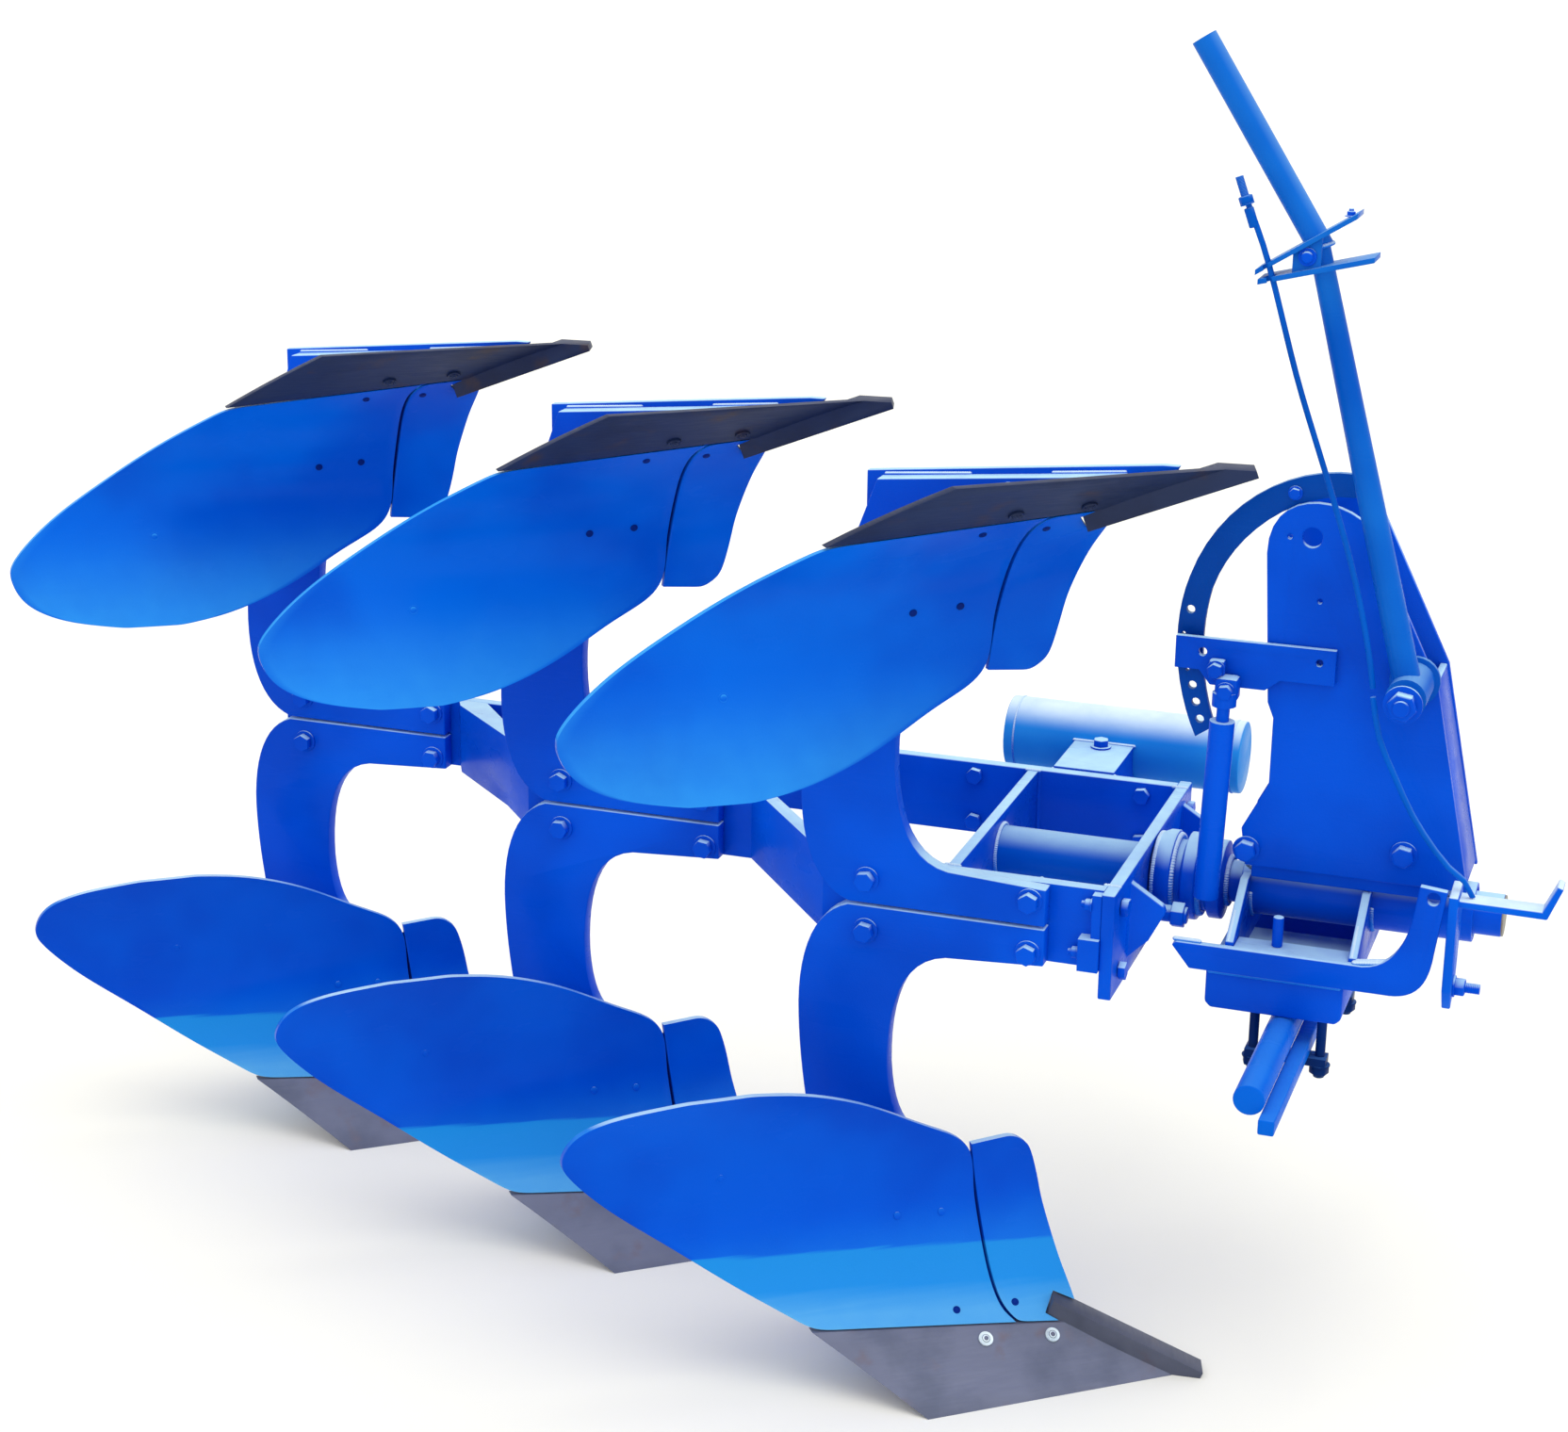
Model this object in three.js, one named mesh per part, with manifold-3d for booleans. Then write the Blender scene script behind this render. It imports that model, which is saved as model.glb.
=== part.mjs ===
// Three-furrow mechanical reversible mouldboard plough, in millimetres, +Z up.
// X points forward to the tractor, Y to the left. The model is drawn about the turnover axis,
// with X = 0 at the rear leg bolt of the front body, and is lifted onto the ground at the end.
import * as THREE from "three";
import { mergeVertices } from "three/addons/utils/BufferGeometryUtils.js";
import Module from "manifold-3d";

const wasm = await Module();
wasm.setup();

// Driving dimensions.
const AXIS_HEIGHT = 655; // turnover axis above the ground
const BODY_COUNT = 3;
const PITCH_X = 560; // from one body to the next along the line of travel
const PITCH_Y = 231; // cutting width of one body
const FIRST_LEG_Y = -277; // near face of the front body's leg
const LEG_T = 25;
const GAP = 0.3; // between pieces that touch
const ORIGIN_X = -259.6; // middle of the whole plough, ahead of X = 0
const ORIGIN_Y = -69.7;

// Frame.
const BEAM_HALF_H = 57;
const BEAM_T = 20;
const NEAR_BEAM_Y = FIRST_LEG_Y + LEG_T + GAP;
const MID_BEAM_Y = NEAR_BEAM_Y + PITCH_Y;
const FAR_BEAM_Y = NEAR_BEAM_Y + 2 * PITCH_Y;
const FRAME_FRONT_X = 330;
const FRAME_REAR_X = -1166;
const CROSS_REAR_X = 102;
const CROSS_T = 16;
const FLANGE_T = 18;
const SHAFT_R = 30;
const SLEEVE_R = 38;
const SLEEVE_FRONT_X = 352;
const COUNTERWEIGHT = { rearX: 20, frontX: 394, y: 420, z: 45, r: 57 };
const SADDLE = { x: [136, 230], top: 60, foot: -34, wall: 7 };

// Headstock.
const TUBE_R = 42;
const TUBE_BORE_R = 35;
const TUBE_REAR_X = 478;
const TUBE_FRONT_X = 800;
const SHAFT_FRONT_X = 838;
const MAST_Y = 54; // near and far mast plates stand this far each side of the axis
const MAST_T = 10;
const GUSSET_REAR_X = 480;
const GUSSET_FRONT_X = 650;
const RAIL_REAR_X = 408;
const RAIL_Y = 150 + GAP;
const RAIL_T = 12;
const TOP_LINK = { x: 549, z: 527, r: 14 };
const CROSSBAR = { x: 565, z: -157, r: 21.5, half: 385 };
const LEVER_Y = -122;
const LEVER_PIVOT = { x: 700, z: 345 };
const CABLE_Y = LEVER_Y - 26;

// Plough body surface: level straight lines, all at one angle to the line of travel.
const WING_ANGLE = THREE.MathUtils.degToRad(39);
const SURFACE = { nearest: 293, waist: -390, below: 0.00284, above: 0.0012 };
const BOARD_T = 10;
const SHARE_T = 16;

const BLUE = { color: 0x0b4fd0, roughness: 0.35, metalness: 0.1 };
const PALE_BLUE = { color: 0x2f7fe0, roughness: 0.35, metalness: 0.1 };
const STEEL = { color: 0x77808c, roughness: 0.45, metalness: 0.8 };
const DARK = { color: 0x2b2f36, roughness: 0.6, metalness: 0.5 };

function solidOf(geometry) {
  const bare = geometry.clone();
  bare.deleteAttribute("normal");
  bare.deleteAttribute("uv");
  const merged = mergeVertices(bare, 1e-4);
  const mesh = { numProp: 3, vertProperties: merged.attributes.position.array };
  mesh.triVerts = new Uint32Array(merged.index.array);
  return new wasm.Manifold(new wasm.Mesh(mesh));
}

function geometryOf(solid) {
  const mesh = solid.getMesh();
  const geometry = new THREE.BufferGeometry();
  geometry.setAttribute("position", new THREE.BufferAttribute(mesh.vertProperties, 3));
  geometry.setIndex(new THREE.BufferAttribute(mesh.triVerts, 1));
  return geometry;
}

function join(...geometries) {
  const solids = geometries.map(solidOf);
  return geometryOf(solids.reduce((whole, solid) => whole.add(solid)));
}

function cut(geometry, ...tools) {
  const solids = tools.map(solidOf);
  return geometryOf(solids.reduce((left, tool) => left.subtract(tool), solidOf(geometry)));
}

function outline(points) {
  return new THREE.Shape(points.map(([a, b]) => new THREE.Vector2(a, b)));
}

function extrude(shape, depth, curveSegments = 12) {
  return new THREE.ExtrudeGeometry(shape, { depth, curveSegments, bevelEnabled: false });
}

// A plate lying in a plane of constant Z, from z up by its thickness.
function plateXY(shape, z, thickness) {
  return extrude(shape, thickness).translate(0, 0, z);
}

// A plate standing along X, from y to y + thickness; the shape's own axes are X and Z.
function plateXZ(shape, y, thickness) {
  return extrude(shape, thickness).rotateX(Math.PI / 2).translate(0, y + thickness, 0);
}

// A plate standing across X, from x to x + thickness; the shape's own axes are Y and Z.
function plateYZ(shape, x, thickness) {
  const turn = new THREE.Matrix4().set(0, 0, 1, x, 1, 0, 0, 0, 0, 1, 0, 0, 0, 0, 0, 1);
  return extrude(shape, thickness).applyMatrix4(turn);
}

function box(x, y, z) {
  const size = [x[1] - x[0], y[1] - y[0], z[1] - z[0]];
  const middle = [(x[0] + x[1]) / 2, (y[0] + y[1]) / 2, (z[0] + z[1]) / 2];
  return new THREE.BoxGeometry(...size).translate(...middle);
}

// A round bar between two points, with a radius at each end.
function bar(from, to, radius, endRadius = radius, sides = 20) {
  const start = new THREE.Vector3(...from);
  const end = new THREE.Vector3(...to);
  const along = end.clone().sub(start);
  const geometry = new THREE.CylinderGeometry(endRadius, radius, along.length(), sides);
  const up = new THREE.Vector3(0, 1, 0);
  const turn = new THREE.Quaternion().setFromUnitVectors(up, along.clone().normalize());
  const middle = start.add(end).multiplyScalar(0.5);
  return geometry.applyQuaternion(turn).translate(...middle.toArray());
}

// A turned piece about the turnover axis, from [x, radius] pairs that start and end on the axis.
function turned(profile, segments = 28) {
  const points = profile.map(([x, r]) => new THREE.Vector2(r, x));
  return new THREE.LatheGeometry(points, segments).rotateZ(-Math.PI / 2);
}

function add(group, name, geometry, finish) {
  const mesh = new THREE.Mesh(geometry, new THREE.MeshStandardMaterial(finish));
  mesh.name = name;
  group.add(mesh);
  return mesh;
}

// Plough body surface. Along is measured on the level lines and z from the turnover axis.
function surfaceOffset(z) {
  const rise = z - SURFACE.waist;
  return SURFACE.nearest + (rise < 0 ? SURFACE.below : SURFACE.above) * rise * rise;
}

function surfacePoint(along, z, behind = 0) {
  const tailTwist = along < -380 ? 0.0004 * (along + 380) ** 2 : 0;
  const out = surfaceOffset(z) - tailTwist - behind;
  const x = along * Math.cos(WING_ANGLE) + out * Math.sin(WING_ANGLE);
  const y = along * Math.sin(WING_ANGLE) - out * Math.cos(WING_ANGLE);
  return [x, y, z];
}

// A closed sheet on the body surface between two edge curves of (along, z) points.
function bodySheet(leftEdge, rightEdge, rows, columns, thickness) {
  const positions = [];
  const indices = [];
  const stride = columns + 1;
  const layer = (rows + 1) * stride;
  for (const behind of [0, thickness]) {
    for (let row = 0; row <= rows; row++) {
      const left = leftEdge.getPoint(row / rows);
      const right = rightEdge.getPoint(row / rows);
      for (let column = 0; column <= columns; column++) {
        const at = left.clone().lerp(right, column / columns);
        positions.push(...surfacePoint(at.x, at.y, behind));
      }
    }
  }
  const quad = (a, b, c, d) => indices.push(a, b, c, a, c, d);
  for (let row = 0; row < rows; row++) {
    for (let column = 0; column < columns; column++) {
      const a = row * stride + column;
      quad(a, a + 1, a + 1 + stride, a + stride);
      quad(layer + a, layer + a + stride, layer + a + 1 + stride, layer + a + 1);
    }
  }
  for (let column = 0; column < columns; column++) {
    const top = rows * stride + column;
    quad(column + 1, column, layer + column, layer + column + 1);
    quad(top, top + 1, layer + top + 1, layer + top);
  }
  for (let row = 0; row < rows; row++) {
    const a = row * stride;
    const b = a + columns;
    quad(a, a + stride, layer + a + stride, layer + a);
    quad(b + stride, b, layer + b, layer + b + stride);
  }
  const geometry = new THREE.BufferGeometry();
  geometry.setAttribute("position", new THREE.Float32BufferAttribute(positions, 3));
  geometry.setIndex(indices);
  return geometry;
}

function edge(points) {
  return new THREE.SplineCurve(points.map(([along, z]) => new THREE.Vector2(along, z)));
}

function straight(from, to) {
  return new THREE.LineCurve(new THREE.Vector2(...from), new THREE.Vector2(...to));
}

const GROUND_Z = -AXIS_HEIGHT;
const SEAM_GAP = 5.2; // between mouldboard and shin
const SHARE_GAP = 2; // between the share and the plates over it

// Height of the joint between the share and the plates over it, which falls towards the point.
function shareTop(along) {
  return -586.5 - 0.0853 * along;
}

// The seam between mouldboard and shin, from the share up.
const SEAM = [[-6, shareTop(-6) + SHARE_GAP], [-22, -566], [-28, -533], [-29, -484]];
SEAM.push([-32, -430], [-42, -351]);

function mouldboard() {
  const tail = [[-300, shareTop(-300) + SHARE_GAP], [-395, -502], [-484, -440], [-565, -380]];
  tail.push([-620, -325], [-633, -292], [-612, -252], [-556, -226], [-470, -212]);
  const crown = [...SEAM, [-120, -305], [-210, -256], [-300, -224], [-380, -211]];
  return bodySheet(edge(tail), edge(crown), 24, 8, BOARD_T);
}

// The shin's lower front corner is cut away where the point bar passes under it.
function shin() {
  const rear = SEAM.map(([along, z]) => [along + SEAM_GAP, z]);
  const front = [[89, shareTop(89) + SHARE_GAP], [91, -568], [84, -529], [79, -492], [71, -447]];
  front.push([67, -414], [56, -373], [44, -357], [24, -346]);
  const sheet = bodySheet(edge(rear), edge(front), 12, 4, BOARD_T);
  return cut(sheet, barBetween(POINT_BAR.halfWidth + 2, POINT_BAR.rise + 2, 90));
}

function share() {
  const rear = straight([-176, GROUND_Z], [-304, shareTop(-304)]);
  const front = straight([196, GROUND_Z], [90, shareTop(90)]);
  return bodySheet(rear, front, 5, 4, SHARE_T);
}

// The point bar lies along the share's front end and runs out past it to the tip.
const POINT_BAR = { heel: [58, -570], tipAlong: 240, halfWidth: 19, rise: 9, depth: 16 };

// A sloping bar from the point bar's heel to its tip, its foot this far below that line.
function barBetween(halfWidth, rise, depth) {
  const heel = new THREE.Vector3(...surfacePoint(...POINT_BAR.heel, 2));
  const tip = new THREE.Vector3(...surfacePoint(POINT_BAR.tipAlong, GROUND_Z, -6));
  const side = new THREE.Vector3(-0.28, 1, 0).normalize().multiplyScalar(halfWidth);
  const setBack = 0.6; // of the foot behind the top, for each mm of depth
  const corners = [];
  for (const drop of [-rise, depth]) {
    for (const end of [heel, tip]) {
      for (const sign of [-1, 1]) {
        const p = end.clone().addScaledVector(side, sign);
        corners.push(p.x - Math.max(drop, 0) * setBack, p.y, p.z - drop);
      }
    }
  }
  const geometry = new THREE.BufferGeometry();
  geometry.setAttribute("position", new THREE.Float32BufferAttribute(corners, 3));
  const ends = [0, 1, 5, 0, 5, 4, 2, 6, 7, 2, 7, 3];
  const topAndFoot = [0, 2, 3, 0, 3, 1, 4, 5, 7, 4, 7, 6];
  const sides = [0, 4, 6, 0, 6, 2, 1, 3, 7, 1, 7, 5];
  geometry.setIndex([...topAndFoot, ...ends, ...sides]);
  return geometry;
}

function pointBar() {
  const { halfWidth, rise, depth } = POINT_BAR;
  const ground = box([0, 900], [-600, 200], [GROUND_Z - 200, GROUND_Z]);
  return cut(barBetween(halfWidth, rise, depth), ground);
}

function landside() {
  const y = FIRST_LEG_Y + LEG_T + GAP;
  const upperEdge = [[-20, -530], [215, -545], [262, -582], [300, -602], [396, -640]];
  const lowerEdge = [[402, GROUND_Z + 3], [380, GROUND_Z + 3], [-20, -611]];
  return plateXZ(outline([...upperEdge, ...lowerEdge]), y, 12);
}

// Furthest forward that a piece in the leg's plane may reach behind the body's plates.
function reachBehind(z, thickness) {
  const room = surfaceOffset(z) - thickness + FIRST_LEG_Y * Math.cos(WING_ANGLE);
  return room / Math.sin(WING_ANGLE) - 4;
}

function leg() {
  const shape = new THREE.Shape();
  shape.moveTo(-27, -2);
  shape.bezierCurveTo(-75, -18, -98, -78, -98, -160);
  shape.bezierCurveTo(-97, -240, -84, -330, -62, -420);
  shape.lineTo(-28, -524);
  shape.lineTo(2, -606);
  shape.lineTo(335, -638);
  for (const z of [-626, -612, -598]) {
    shape.lineTo(reachBehind(z, SHARE_T) - 6, z);
  }
  for (const z of [-575, -545, -500, -440, -390, -350]) {
    shape.lineTo(reachBehind(z, BOARD_T), z);
  }
  shape.bezierCurveTo(70, -345, 42, -330, 36, -240);
  shape.bezierCurveTo(33, -150, 52, -74, 116, -64);
  shape.lineTo(255, -56);
  shape.lineTo(255, -2);
  return plateXZ(shape, FIRST_LEG_Y, LEG_T);
}

// One body, drawn at the front lower place.
function ploughBody(suffix) {
  const body = new THREE.Group();
  add(body, "leg_" + suffix, leg(), BLUE);
  add(body, "mouldboard_" + suffix, mouldboard(), BLUE);
  add(body, "shin_" + suffix, shin(), BLUE);
  add(body, "share_" + suffix, join(share(), pointBar()), STEEL);
  add(body, "landside_" + suffix, landside(), BLUE);
  return body;
}

function ploughBodies() {
  const bodies = new THREE.Group();
  for (let index = 0; index < BODY_COUNT; index++) {
    for (const [level, flip] of [["lower", 1], ["upper", -1]]) {
      const body = ploughBody(level + "_" + (index + 1));
      body.position.set(-index * PITCH_X, index * PITCH_Y, 0);
      body.scale.z = flip;
      bodies.add(body);
    }
  }
  return bodies;
}

// Frame.
function nearBeam() {
  const near = [[FRAME_FRONT_X, NEAR_BEAM_Y], [-72, NEAR_BEAM_Y], [-262, MID_BEAM_Y]];
  near.push([-626, MID_BEAM_Y], [-700, MID_BEAM_Y + 84]);
  near.push([-836, FAR_BEAM_Y - BEAM_T - 6], [-850, FAR_BEAM_Y - GAP]);
  const far = [[-800, FAR_BEAM_Y - GAP], [-690, MID_BEAM_Y + 104], [-612, MID_BEAM_Y + BEAM_T]];
  far.push([-252, MID_BEAM_Y + BEAM_T], [-60, NEAR_BEAM_Y + BEAM_T], [FRAME_FRONT_X, NEAR_BEAM_Y + BEAM_T]);
  const beam = plateXY(outline([...near, ...far]), -BEAM_HALF_H, 2 * BEAM_HALF_H);
  const block = box([FRAME_FRONT_X - 29, FRAME_FRONT_X], [-274, NEAR_BEAM_Y + 1], [-56, -9]);
  const flange = box([FRAME_FRONT_X - 13, FRAME_FRONT_X], [-267, NEAR_BEAM_Y + 1], [-10, 54]);
  return join(beam, block, flange);
}

function farBeam() {
  const x = [FRAME_REAR_X, FRAME_FRONT_X];
  return box(x, [FAR_BEAM_Y, FAR_BEAM_Y + BEAM_T], [-BEAM_HALF_H, BEAM_HALF_H]);
}

function crossPlate(x, thickness) {
  const y = [NEAR_BEAM_Y + BEAM_T + GAP, FAR_BEAM_Y - GAP];
  const plate = box([x, x + thickness], y, [-BEAM_HALF_H + 1, BEAM_HALF_H - 1]);
  return cut(plate, bar([x - 1, 0, 0], [x + thickness + 1, 0, 0], SLEEVE_R + 1, SLEEVE_R + 1, 32));
}

function frontPlate() {
  const x = FRAME_FRONT_X + GAP;
  const y = [NEAR_BEAM_Y - 16, FAR_BEAM_Y + BEAM_T + 10];
  const plate = box([x, x + FLANGE_T], y, [-96, BEAM_HALF_H]);
  return cut(plate, bar([x - 1, 0, 0], [x + FLANGE_T + 1, 0, 0], SLEEVE_R + 1, SLEEVE_R + 1, 32));
}

function frontGusset(side) {
  const x = FRAME_FRONT_X + FLANGE_T - 1;
  const shape = outline([[x, -70], [x + 30, -40], [x + 52, 4], [x + 48, 14], [x, 44]]);
  return plateXZ(shape, side * 172, 14);
}

function shaftSleeve() {
  const rear = CROSS_REAR_X - 14;
  return turned([[rear, 0], [rear, SLEEVE_R], [SLEEVE_FRONT_X, SLEEVE_R], [SLEEVE_FRONT_X, 0]]);
}

function hub() {
  const x = SLEEVE_FRONT_X + GAP;
  const profile = [[x, 0], [x, 56], [x + 14, 63], [x + 26, 63], [x + 30, 50], [x + 40, 50]];
  profile.push([x + 44, 63], [x + 62, 63], [x + 66, 48], [x + 76, 48], [x + 80, 57]);
  profile.push([x + 98, 57], [x + 102, SHAFT_R], [SHAFT_FRONT_X, SHAFT_R], [SHAFT_FRONT_X, 0]);
  return turned(profile);
}

function stopRod() {
  const y = -88;
  const z = -28;
  const x = FRAME_FRONT_X + FLANGE_T + 2 * GAP;
  const rod = bar([x, y, z], [x + 66, y, z], 12);
  const nut = bar([x + 44, y, z], [x + 62, y, z], 19, 19, 6);
  return join(rod, nut);
}

function counterweight() {
  const { rearX, frontX, y, z, r } = COUNTERWEIGHT;
  return bar([rearX, y, z], [frontX, y, z], r, r, 32);
}

// A channel bolted behind the far beam, open below, its end shaped to the counterweight.
function counterweightSaddle() {
  const { rearX, frontX, y, z, r } = COUNTERWEIGHT;
  const { x, top, foot, wall } = SADDLE;
  const behindBeam = FAR_BEAM_Y + BEAM_T + GAP;
  const block = box(x, [behindBeam, y - 20], [foot, top]);
  const room = box([x[0] + wall, x[1] - wall], [behindBeam - 1, y], [foot - 1, top - wall]);
  return cut(block, room, bar([rearX, y, z], [frontX, y, z], r + GAP, r + GAP, 32));
}

// Headstock.
function bearingTube() {
  const tube = bar([TUBE_REAR_X, 0, 0], [TUBE_FRONT_X, 0, 0], TUBE_R, TUBE_R, 32);
  const boreEnds = [[TUBE_REAR_X - 1, 0, 0], [TUBE_FRONT_X + 1, 0, 0]];
  return cut(tube, bar(...boreEnds, TUBE_BORE_R, TUBE_BORE_R, 32));
}

const MAST_FOOT_Z = 50;
const MAST_FRONT = { topX: 730, topZ: 338, footX: 792 };

function mastOutline() {
  const shape = new THREE.Shape();
  shape.moveTo(486, MAST_FOOT_Z);
  shape.lineTo(478, 104);
  shape.lineTo(512, 172);
  shape.lineTo(512, 268);
  shape.lineTo(503, 290);
  shape.lineTo(489, 500);
  shape.bezierCurveTo(487, 590, 580, 590, 624, 548);
  shape.lineTo(MAST_FRONT.topX, MAST_FRONT.topZ);
  shape.lineTo(MAST_FRONT.footX, MAST_FOOT_Z);
  return shape;
}

function mastPlate(side) {
  const y = side < 0 ? -MAST_Y - MAST_T : MAST_Y;
  const { x, z, r } = TOP_LINK;
  return cut(plateXZ(mastOutline(), y, MAST_T), bar([x, y - 1, z], [x, y + MAST_T + 1, z], r));
}

function mastFrontWall() {
  const { topX, topZ, footX } = MAST_FRONT;
  const footZ = MAST_FOOT_Z + 6;
  const rear = [[topX - 12, topZ], [footX - 12, footZ]];
  const shape = outline([...rear, [footX - 2, footZ], [topX - 2, topZ]]);
  return plateXZ(shape, -MAST_Y + GAP, 2 * (MAST_Y - GAP));
}

// The block under the mast plates that seats them on the bearing tube.
function mastSeat() {
  const half = MAST_Y - GAP;
  const block = box([494, 758], [-half, half], [30, 104]);
  const room = box([506, 746], [-half + 10, half - 10], [20, 120]);
  const tube = bar([400, 0, 0], [900, 0, 0], TUBE_R - 2, TUBE_R - 2, 32);
  return cut(block, room, tube);
}

function quadrantArc() {
  const shape = new THREE.Shape();
  shape.moveTo(602, 584);
  shape.bezierCurveTo(520, 588, 440, 520, 416, 440);
  shape.bezierCurveTo(402, 380, 404, 310, 430, 244);
  shape.lineTo(404, 226);
  shape.bezierCurveTo(368, 300, 362, 390, 384, 455);
  shape.bezierCurveTo(415, 556, 505, 622, 602, 616);
  const holes = [[388, 408], [386, 352], [396, 300], [402, 276], [409, 252]];
  const y = -MAST_Y + GAP;
  const drills = holes.map(([x, z]) => bar([x, y - 1, z], [x, y + MAST_T + 1, z], 6, 6, 12));
  return cut(plateXZ(shape, y, MAST_T), ...drills);
}

function quadrantBar() {
  const y = -MAST_Y - 2 * MAST_T - GAP - 2;
  const lowerEdge = [[594, 326], [520, 326], [500, 310], [424, 310], [408, 330], [374, 330]];
  const shape = outline([[374, 376], [594, 376], ...lowerEdge]);
  const packer = box([530, 580], [y + MAST_T, -MAST_Y - MAST_T - GAP], [336, 366]);
  return join(plateXZ(shape, y, MAST_T + 0.01), packer);
}

// The strut between the quadrant bar and the bracket beside the hub.
function strut() {
  const y = -88;
  const top = [450, y - 12, 300];
  const foot = [440, y - 8, 8];
  const neck = [449, y - 12, 268];
  const knuckle = bar([450, y - 12, 309], [450, y - 12, 290], 17, 17, 12);
  return join(bar(top, neck, 9, 9, 12), bar(neck, foot, 17.5, 17.5, 18), knuckle);
}

function crossGusset(x) {
  const shape = outline([[-58, 28], [58, 28], [150, -34], [150, -76], [-150, -76], [-150, -34]]);
  const plate = plateYZ(shape, x, 12);
  return cut(plate, bar([x - 1, 0, 0], [x + 13, 0, 0], TUBE_R + GAP, TUBE_R + GAP, 32));
}

// A rail beside the hitch box, with the shelf that reaches in from it between the two gussets.
function hitchRail(side) {
  const near = side < 0 ? -RAIL_Y - RAIL_T : RAIL_Y;
  const shelfY = side < 0 ? [-RAIL_Y - 1, -RAIL_Y + 38] : [RAIL_Y - 38, RAIL_Y + 1];
  const shelf = box([GUSSET_REAR_X + RAIL_T + GAP, GUSSET_FRONT_X - GAP], shelfY, [-50, -38]);
  return join(plateXZ(side < 0 ? risingRail() : plainRail(), near, RAIL_T), shelf);
}

function plainRail() {
  return outline([[RAIL_REAR_X, -76], [700, -76], [700, -38], [RAIL_REAR_X, -38]]);
}

// The near rail rises at its front end to carry the latch.
function risingRail() {
  const shape = new THREE.Shape();
  shape.moveTo(RAIL_REAR_X, -44);
  shape.lineTo(RAIL_REAR_X + 26, -76);
  shape.lineTo(700, -76);
  shape.bezierCurveTo(738, -78, 760, -62, 764, -10);
  shape.lineTo(776, 84);
  shape.lineTo(739, 88);
  shape.lineTo(733, 44);
  shape.bezierCurveTo(728, 8, 714, -34, 670, -38);
  shape.lineTo(RAIL_REAR_X + 6, -38);
  return shape;
}

function hitchBox() {
  const shape = outline([[456, -77], [456, -127], [464, -135], [638, -135], [646, -127], [646, -77]]);
  const inner = outline([[468, -76], [468, -118], [473, -123], [629, -123], [634, -118], [634, -76]]);
  return cut(plateXZ(shape, -150, 300), plateXZ(inner, -138, 276));
}

function crossbar() {
  const { x, z, r, half } = CROSSBAR;
  return bar([x, -half, z], [x, half, z], r, r, 28);
}

function crossbarKeeper() {
  const x = CROSSBAR.x + CROSSBAR.r + 6;
  const z = CROSSBAR.z - CROSSBAR.r - 6;
  return box([x - 11, x + 11], [-CROSSBAR.half - 18, CROSSBAR.half + 18], [z - 11, z + 11]);
}

function clampBolts(side) {
  const y = side * 118;
  const { x, z } = CROSSBAR;
  const low = z - 40;
  const strap = box([x - 52, x + 62], [y - 14, y + 14], [low - 12, low]);
  const studs = [x - 42, x + 52].map((at) => bar([at, y, low - 20], [at, y, -135 - GAP], 7, 7, 12));
  return join(strap, ...studs);
}

function latchPlate() {
  const shape = outline([[-163, 78], [-110, 84], [-90, 40], [-104, -70], [-140, -92], [-160, -60]]);
  return plateYZ(shape, 778, 12);
}

function latchPedal() {
  const tread = [[906, 58], [924, 104], [916, 108], [899, 69]];
  return plateXZ(outline([[780, 70], [780, 60], ...tread]), -150, 34);
}

function lever() {
  const { x, z } = LEVER_PIVOT;
  const y = LEVER_Y;
  const bush = bar([x, -MAST_Y - MAST_T - 8, z], [x, y - 38, z], 27, 27, 24);
  const boss = bar([x, y - 36, z], [x, y - 62, z], 18, 18, 6);
  const knee = [540, y, 930];
  const shank = bar([x - 4, y, z + 12], knee, 19, 14, 20);
  const grip = bar([knee[0] + 4, y, knee[2] - 6], [377, y, 1182], 17, 17, 20);
  const washer = bar([x, -MAST_Y - MAST_T - 1, z], [x, -MAST_Y - MAST_T - 9, z], 34, 34, 24);
  const upperTrigger = triggerPlate([466, 892], [592, 971]);
  const lowerTrigger = triggerPlate([470, 880], [617, 917]);
  const block = plateXZ(outline([[512, 894], [548, 903], [548, 939], [512, 917]]), y - 25, 34);
  const whole = join(washer, bush, boss, shank, grip, upperTrigger, lowerTrigger, block);
  return cut(whole, bar([462, CABLE_Y, 950], [515, CABLE_Y, 800], 9, 9, 12));
}

// A trigger plate between the middles of its two round ends.
function triggerPlate([ax, az], [bx, bz]) {
  const half = 3.5;
  const shape = outline([[ax, az - half], [bx, bz - half], [bx, bz + half], [ax, az + half]]);
  return plateXZ(shape, LEVER_Y - 34, 52);
}

function cable(points, sides = 8) {
  const path = new THREE.CatmullRomCurve3(points.map((p) => new THREE.Vector3(...p)));
  const radius = 4;
  const section = new THREE.Shape();
  section.absarc(0, 0, radius, 0, 2 * Math.PI, false);
  const steps = Math.ceil(path.getLength() / 30);
  const settings = { steps, curveSegments: sides, extrudePath: path, bevelEnabled: false };
  return new THREE.ExtrudeGeometry(section, settings);
}

const CABLE_TOP = [[438, CABLE_Y, 1006], [475, CABLE_Y, 922], [530, CABLE_Y, 752], [584, CABLE_Y, 606]];
CABLE_TOP.push([620, CABLE_Y, 500], [646, CABLE_Y, 400], [655, CABLE_Y, 352]);
const CABLE_LOW = [[656, CABLE_Y, 340], [668, CABLE_Y, 285], [694, CABLE_Y, 230], [722, CABLE_Y, 178]];
CABLE_LOW.push([768, -146, 118], [804, -136, 84], [806, -134, 72]);

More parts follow.
